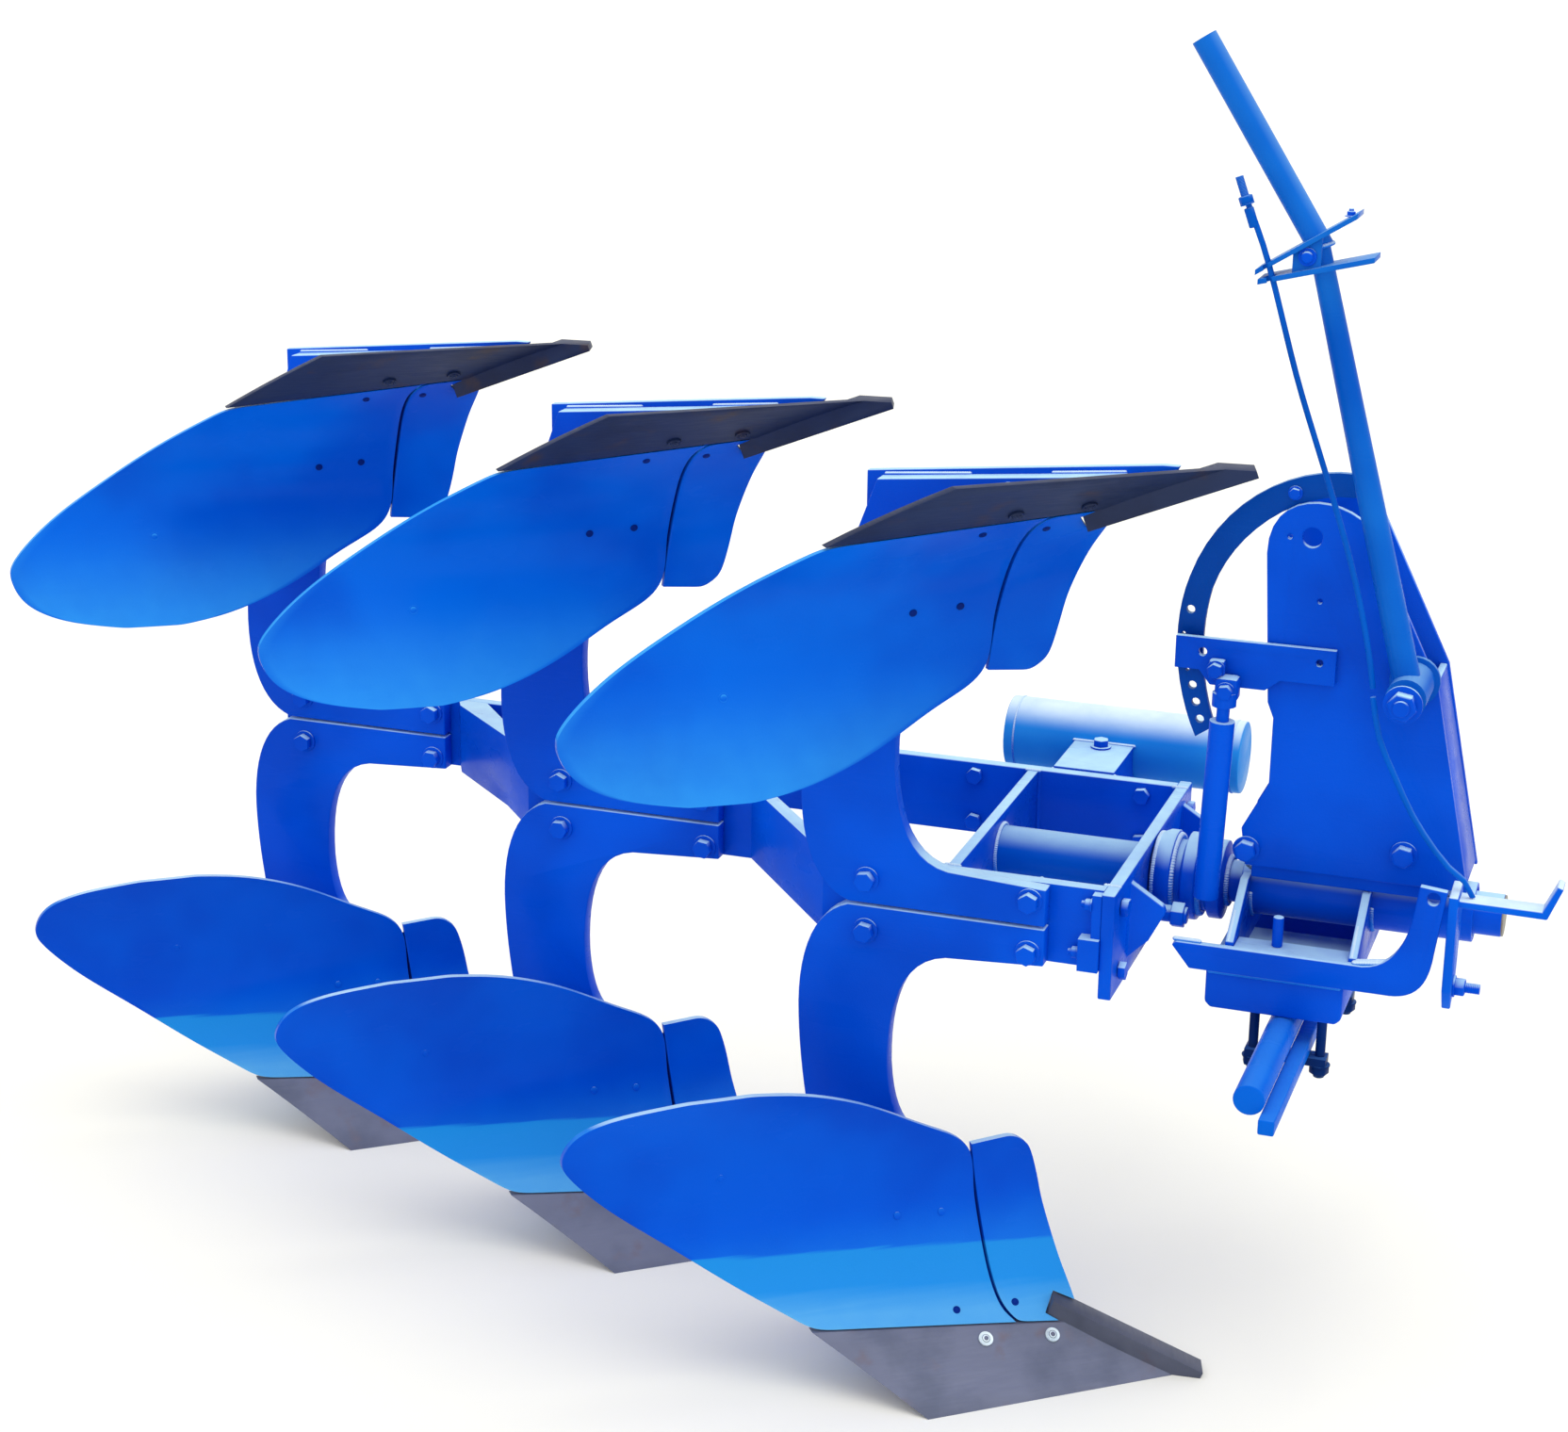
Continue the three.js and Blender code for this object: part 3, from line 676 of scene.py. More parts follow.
class Workshop:
    """Modelling steps that every sub-assembly uses. Places are in mm from the turnover axis."""

    def __init__(self, nodes: dict[str, bpy.types.Object], paints: Paintbox) -> None:
        """Finds the turnover axis.

        Args:
            nodes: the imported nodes.
            paints: the finishes.
        """
        self.nodes = nodes
        self.paints = paints
        low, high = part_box("shaft_sleeve")
        sleeve_rear_x = 88
        middle = (low + high) / 2
        self.origin = Vector((low.x - sleeve_rear_x * MM, middle.y, middle.z))

    def at(self, x: float, y: float, z: float) -> Vector:
        """The place, in metres on the ground frame, of a point given from the turnover axis."""
        return self.origin + Vector((x, y, z)) * MM

    def clear(self) -> None:
        """Leaves nothing selected, in object mode."""
        if bpy.context.mode != "OBJECT":
            bpy.ops.object.mode_set(mode="OBJECT")
        bpy.ops.object.select_all(action="DESELECT")

    def choose(self, *pieces: bpy.types.Object) -> None:
        """Selects only these pieces, the first of them active."""
        self.clear()
        for piece in pieces:
            piece.select_set(True)
        bpy.context.view_layer.objects.active = pieces[0]

    def apply(self, piece: bpy.types.Object, kind: str, **settings: object) -> None:
        """Adds one modifier and applies it.

        Args:
            piece: what it works on.
            kind: the modifier's type.
            settings: properties to set on it.
        """
        self.choose(piece)
        modifier = piece.modifiers.new(kind.title(), kind)
        for key, value in settings.items():
            setattr(modifier, key, value)
        bpy.ops.object.modifier_apply(modifier=modifier.name)

    def settle(self, piece: bpy.types.Object) -> bpy.types.Object:
        """Puts a piece's place into its mesh.

        Args:
            piece: the piece.

        Returns:
            The same piece, unmoved to the eye.
        """
        self.choose(piece)
        bpy.ops.object.transform_apply(location=True, rotation=True, scale=True)
        return piece

    def round_edges(
        self, piece: bpy.types.Object, width: float, segments: int = 2, angle: float = 30
    ) -> None:
        """Breaks the sharp edges of a piece.

        Args:
            piece: what is bevelled.
            width: the bevel's width in mm.
            segments: faces across the bevel.
            angle: edges sharper than this, in degrees, are bevelled.
        """
        self.apply(
            piece,
            "BEVEL",
            width=width * MM,
            segments=segments,
            limit_method="ANGLE",
            angle_limit=math.radians(angle),
            use_clamp_overlap=True,
        )

    def smooth(self, piece: bpy.types.Object, angle: float = 38) -> None:
        """Shades a piece smooth where its faces meet at less than the angle."""
        self.choose(piece)
        bpy.ops.object.shade_smooth_by_angle(angle=math.radians(angle))

    def join(self, name: str, pieces: Sequence[bpy.types.Object]) -> bpy.types.Object:
        """Makes one piece of several.

        Args:
            name: the piece's name.
            pieces: what goes into it.

        Returns:
            The joined piece.
        """
        self.choose(*pieces)
        if len(pieces) > 1:
            bpy.ops.object.join()
        whole = bpy.context.view_layer.objects.active
        whole.name = name
        whole.data.name = name
        return whole

    def cylinder(
        self, radius: float, length: float, sides: int = 28, base: float = 0
    ) -> bpy.types.Object:
        """A round bar standing on the origin, in mm.

        Args:
            radius: its radius.
            length: its height.
            sides: how many sides it has.
            base: where its foot is along its axis.

        Returns:
            The bar.
        """
        self.clear()
        bpy.ops.mesh.primitive_cylinder_add(
            vertices=sides,
            radius=radius * MM,
            depth=length * MM,
            location=(0, 0, (base + length / 2) * MM),
        )
        return self.settle(bpy.context.view_layer.objects.active)

    def block(self, low: Point, high: Point, edge: float = 1.5) -> bpy.types.Object:
        """A bevelled block between two corners, in mm from the axis.

        Args:
            low: its lowest corner.
            high: its highest corner.
            edge: the bevel's width.

        Returns:
            The block.
        """
        self.clear()
        start, end = self.at(*low), self.at(*high)
        bpy.ops.mesh.primitive_cube_add(size=1, location=(start + end) / 2)
        piece = bpy.context.view_layer.objects.active
        piece.scale = end - start
        self.settle(piece)
        self.round_edges(piece, edge)
        return piece

    def stamp(
        self, master: bpy.types.Object, at: Vector, along: Vector, roll: float = 0
    ) -> bpy.types.Object:
        """Copies a piece that stands on the origin to a place.

        Args:
            master: the piece that is copied.
            at: where its foot goes, in metres.
            along: the direction that its +Z turns to.
            roll: its turn about that direction, in degrees.

        Returns:
            The copy.
        """
        copy = master.copy()
        copy.data = master.data.copy()
        bpy.context.scene.collection.objects.link(copy)
        turn = along.to_track_quat("Z", "Y").to_matrix().to_4x4()
        spin = Matrix.Rotation(math.radians(roll), 4, "Z")
        copy.matrix_world = Matrix.Translation(at) @ turn @ spin
        return self.settle(copy)

    def discard(self, *pieces: bpy.types.Object) -> None:
        """Removes masters and cutters."""
        for piece in pieces:
            bpy.data.objects.remove(piece)

    def fit(
        self,
        piece: bpy.types.Object,
        body: Body,
        finish: Enamel | BareSteel,
        slot: Slot,
        angle: float = 38,
    ) -> bpy.types.Object:
        """Smooths, paints and mounts a finished piece.

        Args:
            piece: the piece.
            body: the body that it moves with.
            finish: its finish.
            slot: the record's slot.
            angle: the smoothing angle in degrees.

        Returns:
            The piece.
        """
        self.smooth(piece, angle)
        self.paints.dress(piece, finish, slot)
        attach(piece, body.value)
        log.info("%s rides %s, %d faces", piece.name, body.value, len(piece.data.polygons))
        return piece

    def take_over(self, node: str) -> bpy.types.Object:
        """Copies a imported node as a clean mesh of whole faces.

        Args:
            node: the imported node's name.

        Returns:
            The copy, which still has to be fitted.
        """
        copy = self.nodes[node].copy()
        copy.data = self.nodes[node].data.copy()
        copy.name = f"finished_{node}"
        copy.data.name = copy.name
        copy.parent = None
        for key in [key for key in copy.keys() if key.startswith("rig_")]:
            del copy[key]
        bpy.context.scene.collection.objects.link(copy)
        self.choose(copy)
        bpy.ops.object.mode_set(mode="EDIT")
        bpy.ops.mesh.select_all(action="SELECT")
        bpy.ops.mesh.remove_doubles(threshold=0.00002)
        bpy.ops.object.mode_set(mode="OBJECT")
        return copy

    def flatten(self, piece: bpy.types.Object, degrees: float = 0.4) -> None:
        """Joins triangles that lie in one plane into whole faces.

        Args:
            piece: the piece.
            degrees: how far apart two faces may lean and still count as one plane.
        """
        self.choose(piece)
        bpy.ops.object.mode_set(mode="EDIT")
        bpy.ops.mesh.select_all(action="SELECT")
        bpy.ops.mesh.dissolve_limited(angle_limit=math.radians(degrees))
        bpy.ops.object.mode_set(mode="OBJECT")

    def finish_node(
        self,
        node: str,
        body: Body,
        finish: Enamel | BareSteel,
        slot: Slot,
        edge: float = 1.6,
        holes: Iterable[tuple[Point, Vector, float]] = (),
    ) -> bpy.types.Object:
        """Replaces a packed plate or bar with one that has broken edges and its holes.

        Args:
            node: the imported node.
            body: the body that it moves with.
            finish: its finish.
            slot: the record's slot.
            edge: the bevel's width in mm.
            holes: middle in mm, direction and radius in mm of each hole drilled in it.

        Returns:
            The finished piece.
        """
        piece = self.take_over(node)
        self.flatten(piece)
        for middle, along, radius in holes:
            self.drill(piece, self.at(*middle), along, radius, 60)
        self.round_edges(piece, edge)
        self.fit(piece, body, finish, slot)
        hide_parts(node)
        return piece

    def drill(
        self, piece: bpy.types.Object, at: Vector, along: Vector, radius: float, depth: float
    ) -> None:
        """Cuts a round hole.

        Args:
            piece: what is drilled.
            at: the hole's middle in metres.
            along: its direction.
            radius: its radius in mm.
            depth: its whole depth in mm, half to each side of the middle.
        """
        tool = self.cylinder(radius, depth, 20, -depth / 2)
        cutter = self.stamp(tool, at, along)
        self.apply(piece, "BOOLEAN", operation="DIFFERENCE", object=cutter, solver="EXACT")
        self.discard(tool, cutter)

    def weld(self, start: Point, end: Point, size: float = 3.5) -> bpy.types.Object:
        """A straight run of overlapping weld ripples, in mm from the axis.

        Args:
            start: its first end.
            end: its other end.
            size: the ripples' radius.

        Returns:
            The run.
        """
        first, last = self.at(*start), self.at(*end)
        run = last - first
        count = max(2, int(run.length / (size * 0.72 * MM)))
        drop = self.ripple(size)
        drop.location = first
        self.settle(drop)
        self.apply(
            drop,
            "ARRAY",
            count=count,
            use_relative_offset=False,
            use_constant_offset=True,
            constant_offset_displace=run / (count - 1),
        )
        return drop

    def ripple(self, size: float) -> bpy.types.Object:
        """One drop of weld metal on the origin, with a slightly uneven skin.

        Args:
            size: its radius in mm.

        Returns:
            The drop.
        """
        self.clear()
        bpy.ops.mesh.primitive_ico_sphere_add(subdivisions=2, radius=size * MM)
        drop = bpy.context.view_layer.objects.active
        bpy.ops.object.mode_set(mode="EDIT")
        bpy.ops.mesh.select_all(action="SELECT")
        bpy.ops.transform.vertex_random(offset=size * 0.12 * MM, seed=int(size * 10))
        bpy.ops.object.mode_set(mode="OBJECT")
        return drop

    def weld_ring(
        self,
        centre: Point,
        along: Vector,
        radius: float,
        size: float = 3.5,
        begin: float = 0,
        end: float = 360,
    ) -> bpy.types.Object:
        """A round run of weld ripples.

        Args:
            centre: the ring's middle, in mm from the axis.
            along: the direction that the ring faces.
            radius: its radius in mm.
            size: the ripples' radius in mm.
            begin: the angle in degrees where it starts.
            end: the angle where it stops.

        Returns:
            The ring.
        """
        arc = math.radians(end - begin)
        count = max(4, int(radius * arc / (size * 0.8)))
        drops = []
        master = self.ripple(size)
        turn = along.to_track_quat("Z", "Y").to_matrix()
        for index in range(count):
            angle = math.radians(begin) + arc * index / count
            spoke = Vector((math.cos(angle), math.sin(angle), 0)) * radius * MM
            drops.append(self.stamp(master, self.at(*centre) + turn @ spoke, along, index * 40))
        self.discard(master)
        return self.join("weld_ring", drops)


X_AXIS = Vector((1, 0, 0))
Y_AXIS = Vector((0, 1, 0))
Z_AXIS = Vector((0, 0, 1))


@dataclass
class HexBolt:
    """A hex head on a washer, with its thread's end where that shows. Sizes in mm."""

    corner: float = 14.5
    head: float = 12
    washer: float = 18
    washer_t: float = 3
    thread: float = 0

    def model(self, shop: Workshop) -> bpy.types.Object:
        """Builds the bolt standing on the origin.

        Args:
            shop: the modelling steps.

        Returns:
            The bolt.
        """
        washer = shop.cylinder(self.washer, self.washer_t, 28)
        shop.round_edges(washer, 0.6)
        head = shop.cylinder(self.corner, self.head, 6, self.washer_t)
        self.chamfer(shop, head)
        pieces = [head, washer]
        top = self.washer_t + self.head
        if self.thread:
            pieces.append(threaded_rod(shop, self.corner * 0.56, self.thread, top - 1))
        else:
            mark = shop.cylinder(self.corner * 0.5, 0.8, 20, top - 0.2)
            shop.round_edges(mark, 0.35)
            pieces.append(mark)
        return shop.join("hex_bolt", pieces)

    def chamfer(self, shop: Workshop, head: bpy.types.Object) -> None:
        """Turns down the corners of the head's top.

        Args:
            shop: the modelling steps.
            head: the six-sided head.
        """
        shop.choose(head)
        top = max(corner.co.z for corner in head.data.vertices)
        for face in head.data.polygons:
            face.select = face.center.z > top - 0.0001
        bpy.ops.object.mode_set(mode="EDIT")
        bpy.ops.mesh.select_mode(type="FACE")
        bpy.ops.mesh.inset(thickness=self.corner * 0.14 * MM)
        bpy.ops.transform.translate(value=(0, 0, self.corner * 0.1 * MM))
        bpy.ops.object.mode_set(mode="OBJECT")
        shop.round_edges(head, 0.5, 1)


def threaded_rod(shop: Workshop, radius: float, length: float, base: float) -> bpy.types.Object:
    """A rod with thread ridges, standing on the origin. Sizes in mm.

    Args:
        shop: the modelling steps.
        radius: the rod's radius.
        length: its length.
        base: where its foot is.

    Returns:
        The rod.
    """
    pitch = max(1.6, radius * 0.3)
    ridge = shop.cylinder(radius, pitch, 20, base)
    shop.round_edges(ridge, pitch * 0.32, 1)
    shop.apply(
        ridge,
        "ARRAY",
        count=max(2, int(length / pitch)),
        use_relative_offset=False,
        use_constant_offset=True,
        constant_offset_displace=(0, 0, pitch * MM),
    )
    return ridge


@dataclass
class DomedBolt:
    """A plough bolt with a low dome in a ring. Sizes in mm."""

    radius: float = 10.5
    height: float = 3.5

    def model(self, shop: Workshop) -> bpy.types.Object:
        """Builds the bolt standing on the origin.

        Args:
            shop: the modelling steps.

        Returns:
            The bolt.
        """
        ring = shop.cylinder(self.radius, self.height, 28)
        shop.choose(ring)
        for face in ring.data.polygons:
            face.select = face.center.z > (self.height - 0.1) * MM
        bpy.ops.object.mode_set(mode="EDIT")
        bpy.ops.mesh.select_mode(type="FACE")
        bpy.ops.mesh.inset(thickness=self.radius * 0.36 * MM)
        bpy.ops.transform.translate(value=(0, 0, -self.height * 0.45 * MM))
        bpy.ops.mesh.inset(thickness=self.radius * 0.12 * MM)
        bpy.ops.transform.translate(value=(0, 0, self.height * 0.6 * MM))
        bpy.ops.object.mode_set(mode="OBJECT")
        shop.round_edges(ring, 0.7)
        return ring


@dataclass
class DomedNut:
    """A domed nut on a broad washer. Sizes in mm."""

    washer: float = 16
    radius: float = 10
    height: float = 9

    def model(self, shop: Workshop) -> bpy.types.Object:
        """Builds the nut standing on the origin.

        Args:
            shop: the modelling steps.

        Returns:
            The nut.
        """
        washer = shop.cylinder(self.washer, 3, 24)
        shop.round_edges(washer, 0.8)
        dome = shop.cylinder(self.radius, self.height, 20, 2)
        shop.round_edges(dome, self.radius * 0.45, 4)
        return shop.join("domed_nut", [dome, washer])


@dataclass(frozen=True)
class BoltSet:
    """Bolts of one kind in a working face. Places in mm along the face and about the axis."""

    places: tuple[tuple[float, float], ...]
    bolt: DomedBolt
    sink: float
    lower: Enamel | BareSteel
    upper: Enamel | BareSteel
    slot: Slot = Slot.BOARD


# Bolts in the shadowed enamel or the shaded upper steel are painted shade: the upper set's board and
# share bolts, and the foot and shin bolts of both sets.
BOARD_BOLTS = BoltSet(
    ((-151, -442), (-84, -446)), DomedBolt(5.5, 1.8), 0.6, LOWER_BOARD_ENAMEL, SHADOWED_ENAMEL
)
TAIL_BOLT = BoltSet(((-412, -347),), DomedBolt(7, 1.6), 1.0, LOWER_BOARD_ENAMEL, BOARD_ENAMEL)
FOOT_BOLT = BoltSet(((-88, -562),), DomedBolt(5.5, 1.6), 0.6, SHADOWED_ENAMEL, SHADOWED_ENAMEL)
SHIN_BOLT = BoltSet(((1, -564),), DomedBolt(5.5, 1.4), 0.7, SHADOWED_ENAMEL, SHADOWED_ENAMEL)
SHARE_BOLT_PLACES = ((-58, -595), (41, -602))
SHARE_RINGS = BoltSet(
    SHARE_BOLT_PLACES, DomedBolt(10.5, 4), 0.4, BOLT_STEEL, SHADED_UPPER_STEEL, Slot.STEEL
)
SHARE_DOMES = BoltSet(
    SHARE_BOLT_PLACES, DomedBolt(5.8, 5), 0.2, SHARE_STEEL, SHADED_UPPER_STEEL, Slot.STEEL
)


@dataclass
class PloughBodies:
    """The six bodies: legs, mouldboards, shins, shares and landsides. Sizes in mm."""

    shop: Workshop
    count: int = 3
    pitch_x: float = 560
    pitch_y: float = 231
    leg_near_y: float = -277
    leg_and_beam: float = 45.6
    wing_angle: float = math.radians(39)
    leg_bolt_x: tuple[float, ...] = (0, 233)
    leg_bolt_z: float = 38
    bar_lift: float = 4
    bar_heel: float = 42
    seam: tuple[tuple[float, float], ...] = (
        (-13, -578),
        (-22, -560),
        (-26, -520),
        (-27, -470),
        (-31, -420),
        (-38, -370),
    )
    frog_nuts: tuple[tuple[float, float], ...] = ((184, -602), (283, -618))
    frog_edge: tuple[tuple[float, float], ...] = ((8, 607), (122, 617), (236, 628), (330, 637))

    def build(self) -> None:
        """Builds and dresses every body."""
        for index in range(self.count):
            for level in Level:
                self.plates(index, level)
        self.leg_bolts()

    def names(self, piece: str, index: int, level: Level) -> str:
        """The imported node's name of one piece."""
        return f"{piece}_{level.name.lower()}_{index + 1}"

    def plates(self, index: int, level: Level) -> None:
        """Finishes the plates of one body.

        Args:
            index: 0 for the front body.
            level: the lower or the upper set.
        """
        shop = self.shop
        for piece in ("leg", "landside"):
            node = self.names(piece, index, level)
            shop.finish_node(node, Body.TURNOVER, FRAME_ENAMEL, Slot.FRAME, 2.0)
        # Only the lower set's enamel carries the painted highlight bands and rim.
        enamel = LOWER_BOARD_ENAMEL if level is Level.LOWER else BOARD_ENAMEL
        board = self.curved("mouldboard", index, level, enamel, Slot.BOARD)
        shin = self.curved("shin", index, level, enamel, Slot.BOARD)
        share = self.names("share", index, level)
        # The upper set's share and point bar take the shaded copy of the steel: painted shade.
        steel = SHARE_STEEL if level is Level.LOWER else SHADED_UPPER_STEEL
        blade = shop.finish_node(share, Body.TURNOVER, steel, Slot.STEEL, 3)
        self.point_bar(blade, index, POINT_STEEL if level is Level.LOWER else steel)
        tag = f"{level.name.lower()}_{index + 1}"
        self.face_bolts(f"board_bolts_{tag}", BOARD_BOLTS, board, index, level)
        self.face_bolts(f"tail_bolt_{tag}", TAIL_BOLT, board, index, level)
        self.face_bolts(f"foot_bolt_{tag}", FOOT_BOLT, board, index, level)
        self.face_bolts(f"shin_bolt_{tag}", SHIN_BOLT, shin, index, level)
        self.face_bolts(f"share_bolts_{tag}", SHARE_RINGS, blade, index, level)
        self.face_bolts(f"share_bolt_domes_{tag}", SHARE_DOMES, blade, index, level)
        self.seam_strip(f"seam_strip_{tag}", board, index, level)
        self.frog_details(f"frog_{tag}", index, level)

    def point_bar(self, blade: bpy.types.Object, index: int, finish: BareSteel) -> None:
        """Darkens the point bar, which is what stands proud of the front of the share.

        Args:
            blade: the finished share.
            index: 0 for the front body.
            finish: the bar's finish.
        """
        body = self.shop.at(-index * self.pitch_x, index * self.pitch_y, 0)
        level_line = Vector((math.cos(self.wing_angle), math.sin(self.wing_angle), 0))
        outward = Vector((math.sin(self.wing_angle), -math.cos(self.wing_angle), 0))
        faces = blade.data.polygons
        main_face = max(faces, key=lambda face: face.area * face.normal.dot(outward))
        number = self.shop.paints.load(blade, finish)
        for face in faces:
            lift = (face.center - main_face.center).dot(main_face.normal)
            along = (face.center - body).dot(level_line)
            if lift > self.bar_lift * MM and along > self.bar_heel * MM:
                face.material_index = number

    def curved(
        self, kind: str, index: int, level: Level, finish: Enamel, slot: Slot
    ) -> bpy.types.Object:
        """Replaces a curved sheet with a smooth one on the same outline.

        Args:
            kind: mouldboard or shin.
            index: 0 for the front body.
            level: the lower or the upper set.
            finish: its finish.
            slot: the record's slot.

        Returns:
            The smooth sheet.
        """
        shop = self.shop
        node = self.names(kind, index, level)
        sheet = shop.take_over(node)
        shop.choose(sheet)
        bpy.ops.object.mode_set(mode="EDIT")
        bpy.ops.mesh.select_all(action="SELECT")
        bpy.ops.mesh.tris_convert_to_quads(
            face_threshold=math.radians(50), shape_threshold=math.radians(89)
        )
        bpy.ops.mesh.select_mode(type="EDGE")
        bpy.ops.mesh.select_all(action="DESELECT")
        bpy.ops.mesh.edges_select_sharp(sharpness=math.radians(42))
        bpy.ops.transform.edge_crease(value=1)
        bpy.ops.object.mode_set(mode="OBJECT")
        shop.apply(sheet, "SUBSURF", levels=2, render_levels=2)
        shop.round_edges(sheet, 1.2, 2, 42)
        shop.fit(sheet, Body.TURNOVER, finish, slot, 40)
        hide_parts(node)
        return sheet

    def face_bolts(
        self, name: str, bolts: BoltSet, plate: bpy.types.Object, index: int, level: Level
    ) -> None:
        """Sets plough bolts in the working face of a board or share.

        Args:
            name: the bolts' name.
            bolts: their kind, places and finishes.
            plate: the finished plate they sit in.
            index: 0 for the front body.
            level: the lower or the upper set.
        """
        shop = self.shop
        master = bolts.bolt.model(shop)
        made = []
        bpy.context.view_layer.update()
        for along, height in bolts.places:
            hit, place, normal = self.face_point(plate, index, level, along, height)
            if hit:
                made.append(shop.stamp(master, place - normal * bolts.sink * MM, normal))
        shop.discard(master)
        finish = bolts.lower if level is Level.LOWER else bolts.upper
        shop.fit(shop.join(name, made), Body.TURNOVER, finish, bolts.slot)

    def face_point(
        self, plate: bpy.types.Object, index: int, level: Level, along: float, height: float
    ) -> tuple[bool, Vector, Vector]:
        """Finds a place on the working face of a body.

        Args:
            plate: the finished plate.
            index: 0 for the front body.
            level: the lower or the upper set.
            along: the distance along the face's level lines in mm.
            height: the height of the lower set's point about the axis in mm.

        Returns:
            Whether the plate is there, the place and the face's normal.
        """
        outward = Vector((math.sin(self.wing_angle), -math.cos(self.wing_angle), 0))
        level_line = Vector((math.cos(self.wing_angle), math.sin(self.wing_angle), 0))
        across = index * self.pitch_y
        middle = self.shop.at(-index * self.pitch_x, across, height * level.value)
        start = middle + (level_line * along + outward * 700) * MM
        hit, place, normal, _ = plate.ray_cast(start, -outward)
        return hit, place, normal

    def seam_strip(
        self, name: str, board: bpy.types.Object, index: int, level: Level
    ) -> None:
        """Sets a dark strip behind the joint of mouldboard and shin, painted shade that shows through
        the joint as a dark line.

        Args:
            name: the strip's name.
            board: the finished mouldboard.
            index: 0 for the front body.
            level: the lower or the upper set.
        """
        shop = self.shop
        behind = Vector((-math.sin(self.wing_angle), math.cos(self.wing_angle), 0)) * 12 * MM
        level_line = Vector((math.cos(self.wing_angle), math.sin(self.wing_angle), 0))
        places = []
        for along, height in self.seam:
            hit, place, _ = self.face_point(board, index, level, along - 16, height)
            if hit:
                places.append(place + behind)
        shop.clear()
        bpy.ops.mesh.primitive_plane_add(size=1)
        strip = bpy.context.view_layer.objects.active
        bpy.ops.object.mode_set(mode="EDIT")
        bpy.ops.mesh.select_mode(type="VERT")
        bpy.ops.mesh.select_all(action="SELECT")
        bpy.ops.mesh.merge(type="CENTER")
        bpy.ops.transform.translate(value=places[0])
        bpy.ops.mesh.extrude_region_move(
            TRANSFORM_OT_translate={"value": level_line * 36 * MM}
        )
        bpy.ops.mesh.select_all(action="SELECT")
        for here, there in zip(places, places[1:]):
            bpy.ops.mesh.extrude_region_move(TRANSFORM_OT_translate={"value": there - here})
        bpy.ops.object.mode_set(mode="OBJECT")
        strip.name = name
        strip.data.name = name
        shop.apply(strip, "SOLIDIFY", thickness=3 * MM, offset=0)
        shop.round_edges(strip, 0.5, 1)
        shop.fit(strip, Body.TURNOVER, SHADOWED_ENAMEL, Slot.FRAME)

    def frog_details(self, name: str, index: int, level: Level) -> None:
        """Sets the share's nuts on the frog and the weld runs along the landside.

        Args:
            name: the pieces' name.
            index: 0 for the front body.
            level: the lower or the upper set.
        """
        shop = self.shop
        nut = DomedNut().model(shop)
        shift_x, shift_y = -index * self.pitch_x, index * self.pitch_y
        nuts = []
        for x, z in self.frog_nuts:
            place = shop.at(x + shift_x, self.leg_near_y + shift_y, z * level.value)
            nuts.append(shop.stamp(nut, place, -Y_AXIS))
        shop.discard(nut)
        shop.fit(shop.join(f"{name}_nuts", nuts), Body.TURNOVER, LATCH_ENAMEL, Slot.FRAME)
        runs = []
        edge = [(x + shift_x, -251 + shift_y, -z * level.value) for x, z in self.frog_edge]
        for start, end in ((edge[0], edge[1]), (edge[2], edge[3])):
            runs.append(shop.weld(start, end, 4))
        shop.fit(shop.join(f"{name}_welds", runs), Body.TURNOVER, LATCH_ENAMEL, Slot.FRAME, 60)

    def leg_bolts(self) -> None:
        """Bolts each leg to its beam, heads on the near side and nuts behind."""
        shop = self.shop
        head = HexBolt().model(shop)
        nut = HexBolt(thread=12, head=13).model(shop)
        heads, nuts = [], []
        for index in range(self.count):
            for level in Level:
                for x in self.leg_bolt_x:
                    near = self.leg_near_y + index * self.pitch_y
                    z = -self.leg_bolt_z * level.value
                    place = (x - index * self.pitch_x, near, z)
                    turn = random.uniform(0, 60)
                    heads.append(shop.stamp(head, shop.at(*place), -Y_AXIS, turn))
                    behind = shop.at(place[0], near + self.leg_and_beam, z)
                    nuts.append(shop.stamp(nut, behind, Y_AXIS, turn))
        shop.discard(head, nut)
        for name, pieces in (("leg_bolt_heads", heads), ("leg_bolt_nuts", nuts)):
            shop.fit(shop.join(name, pieces), Body.TURNOVER, FRAME_ENAMEL, Slot.FRAME)


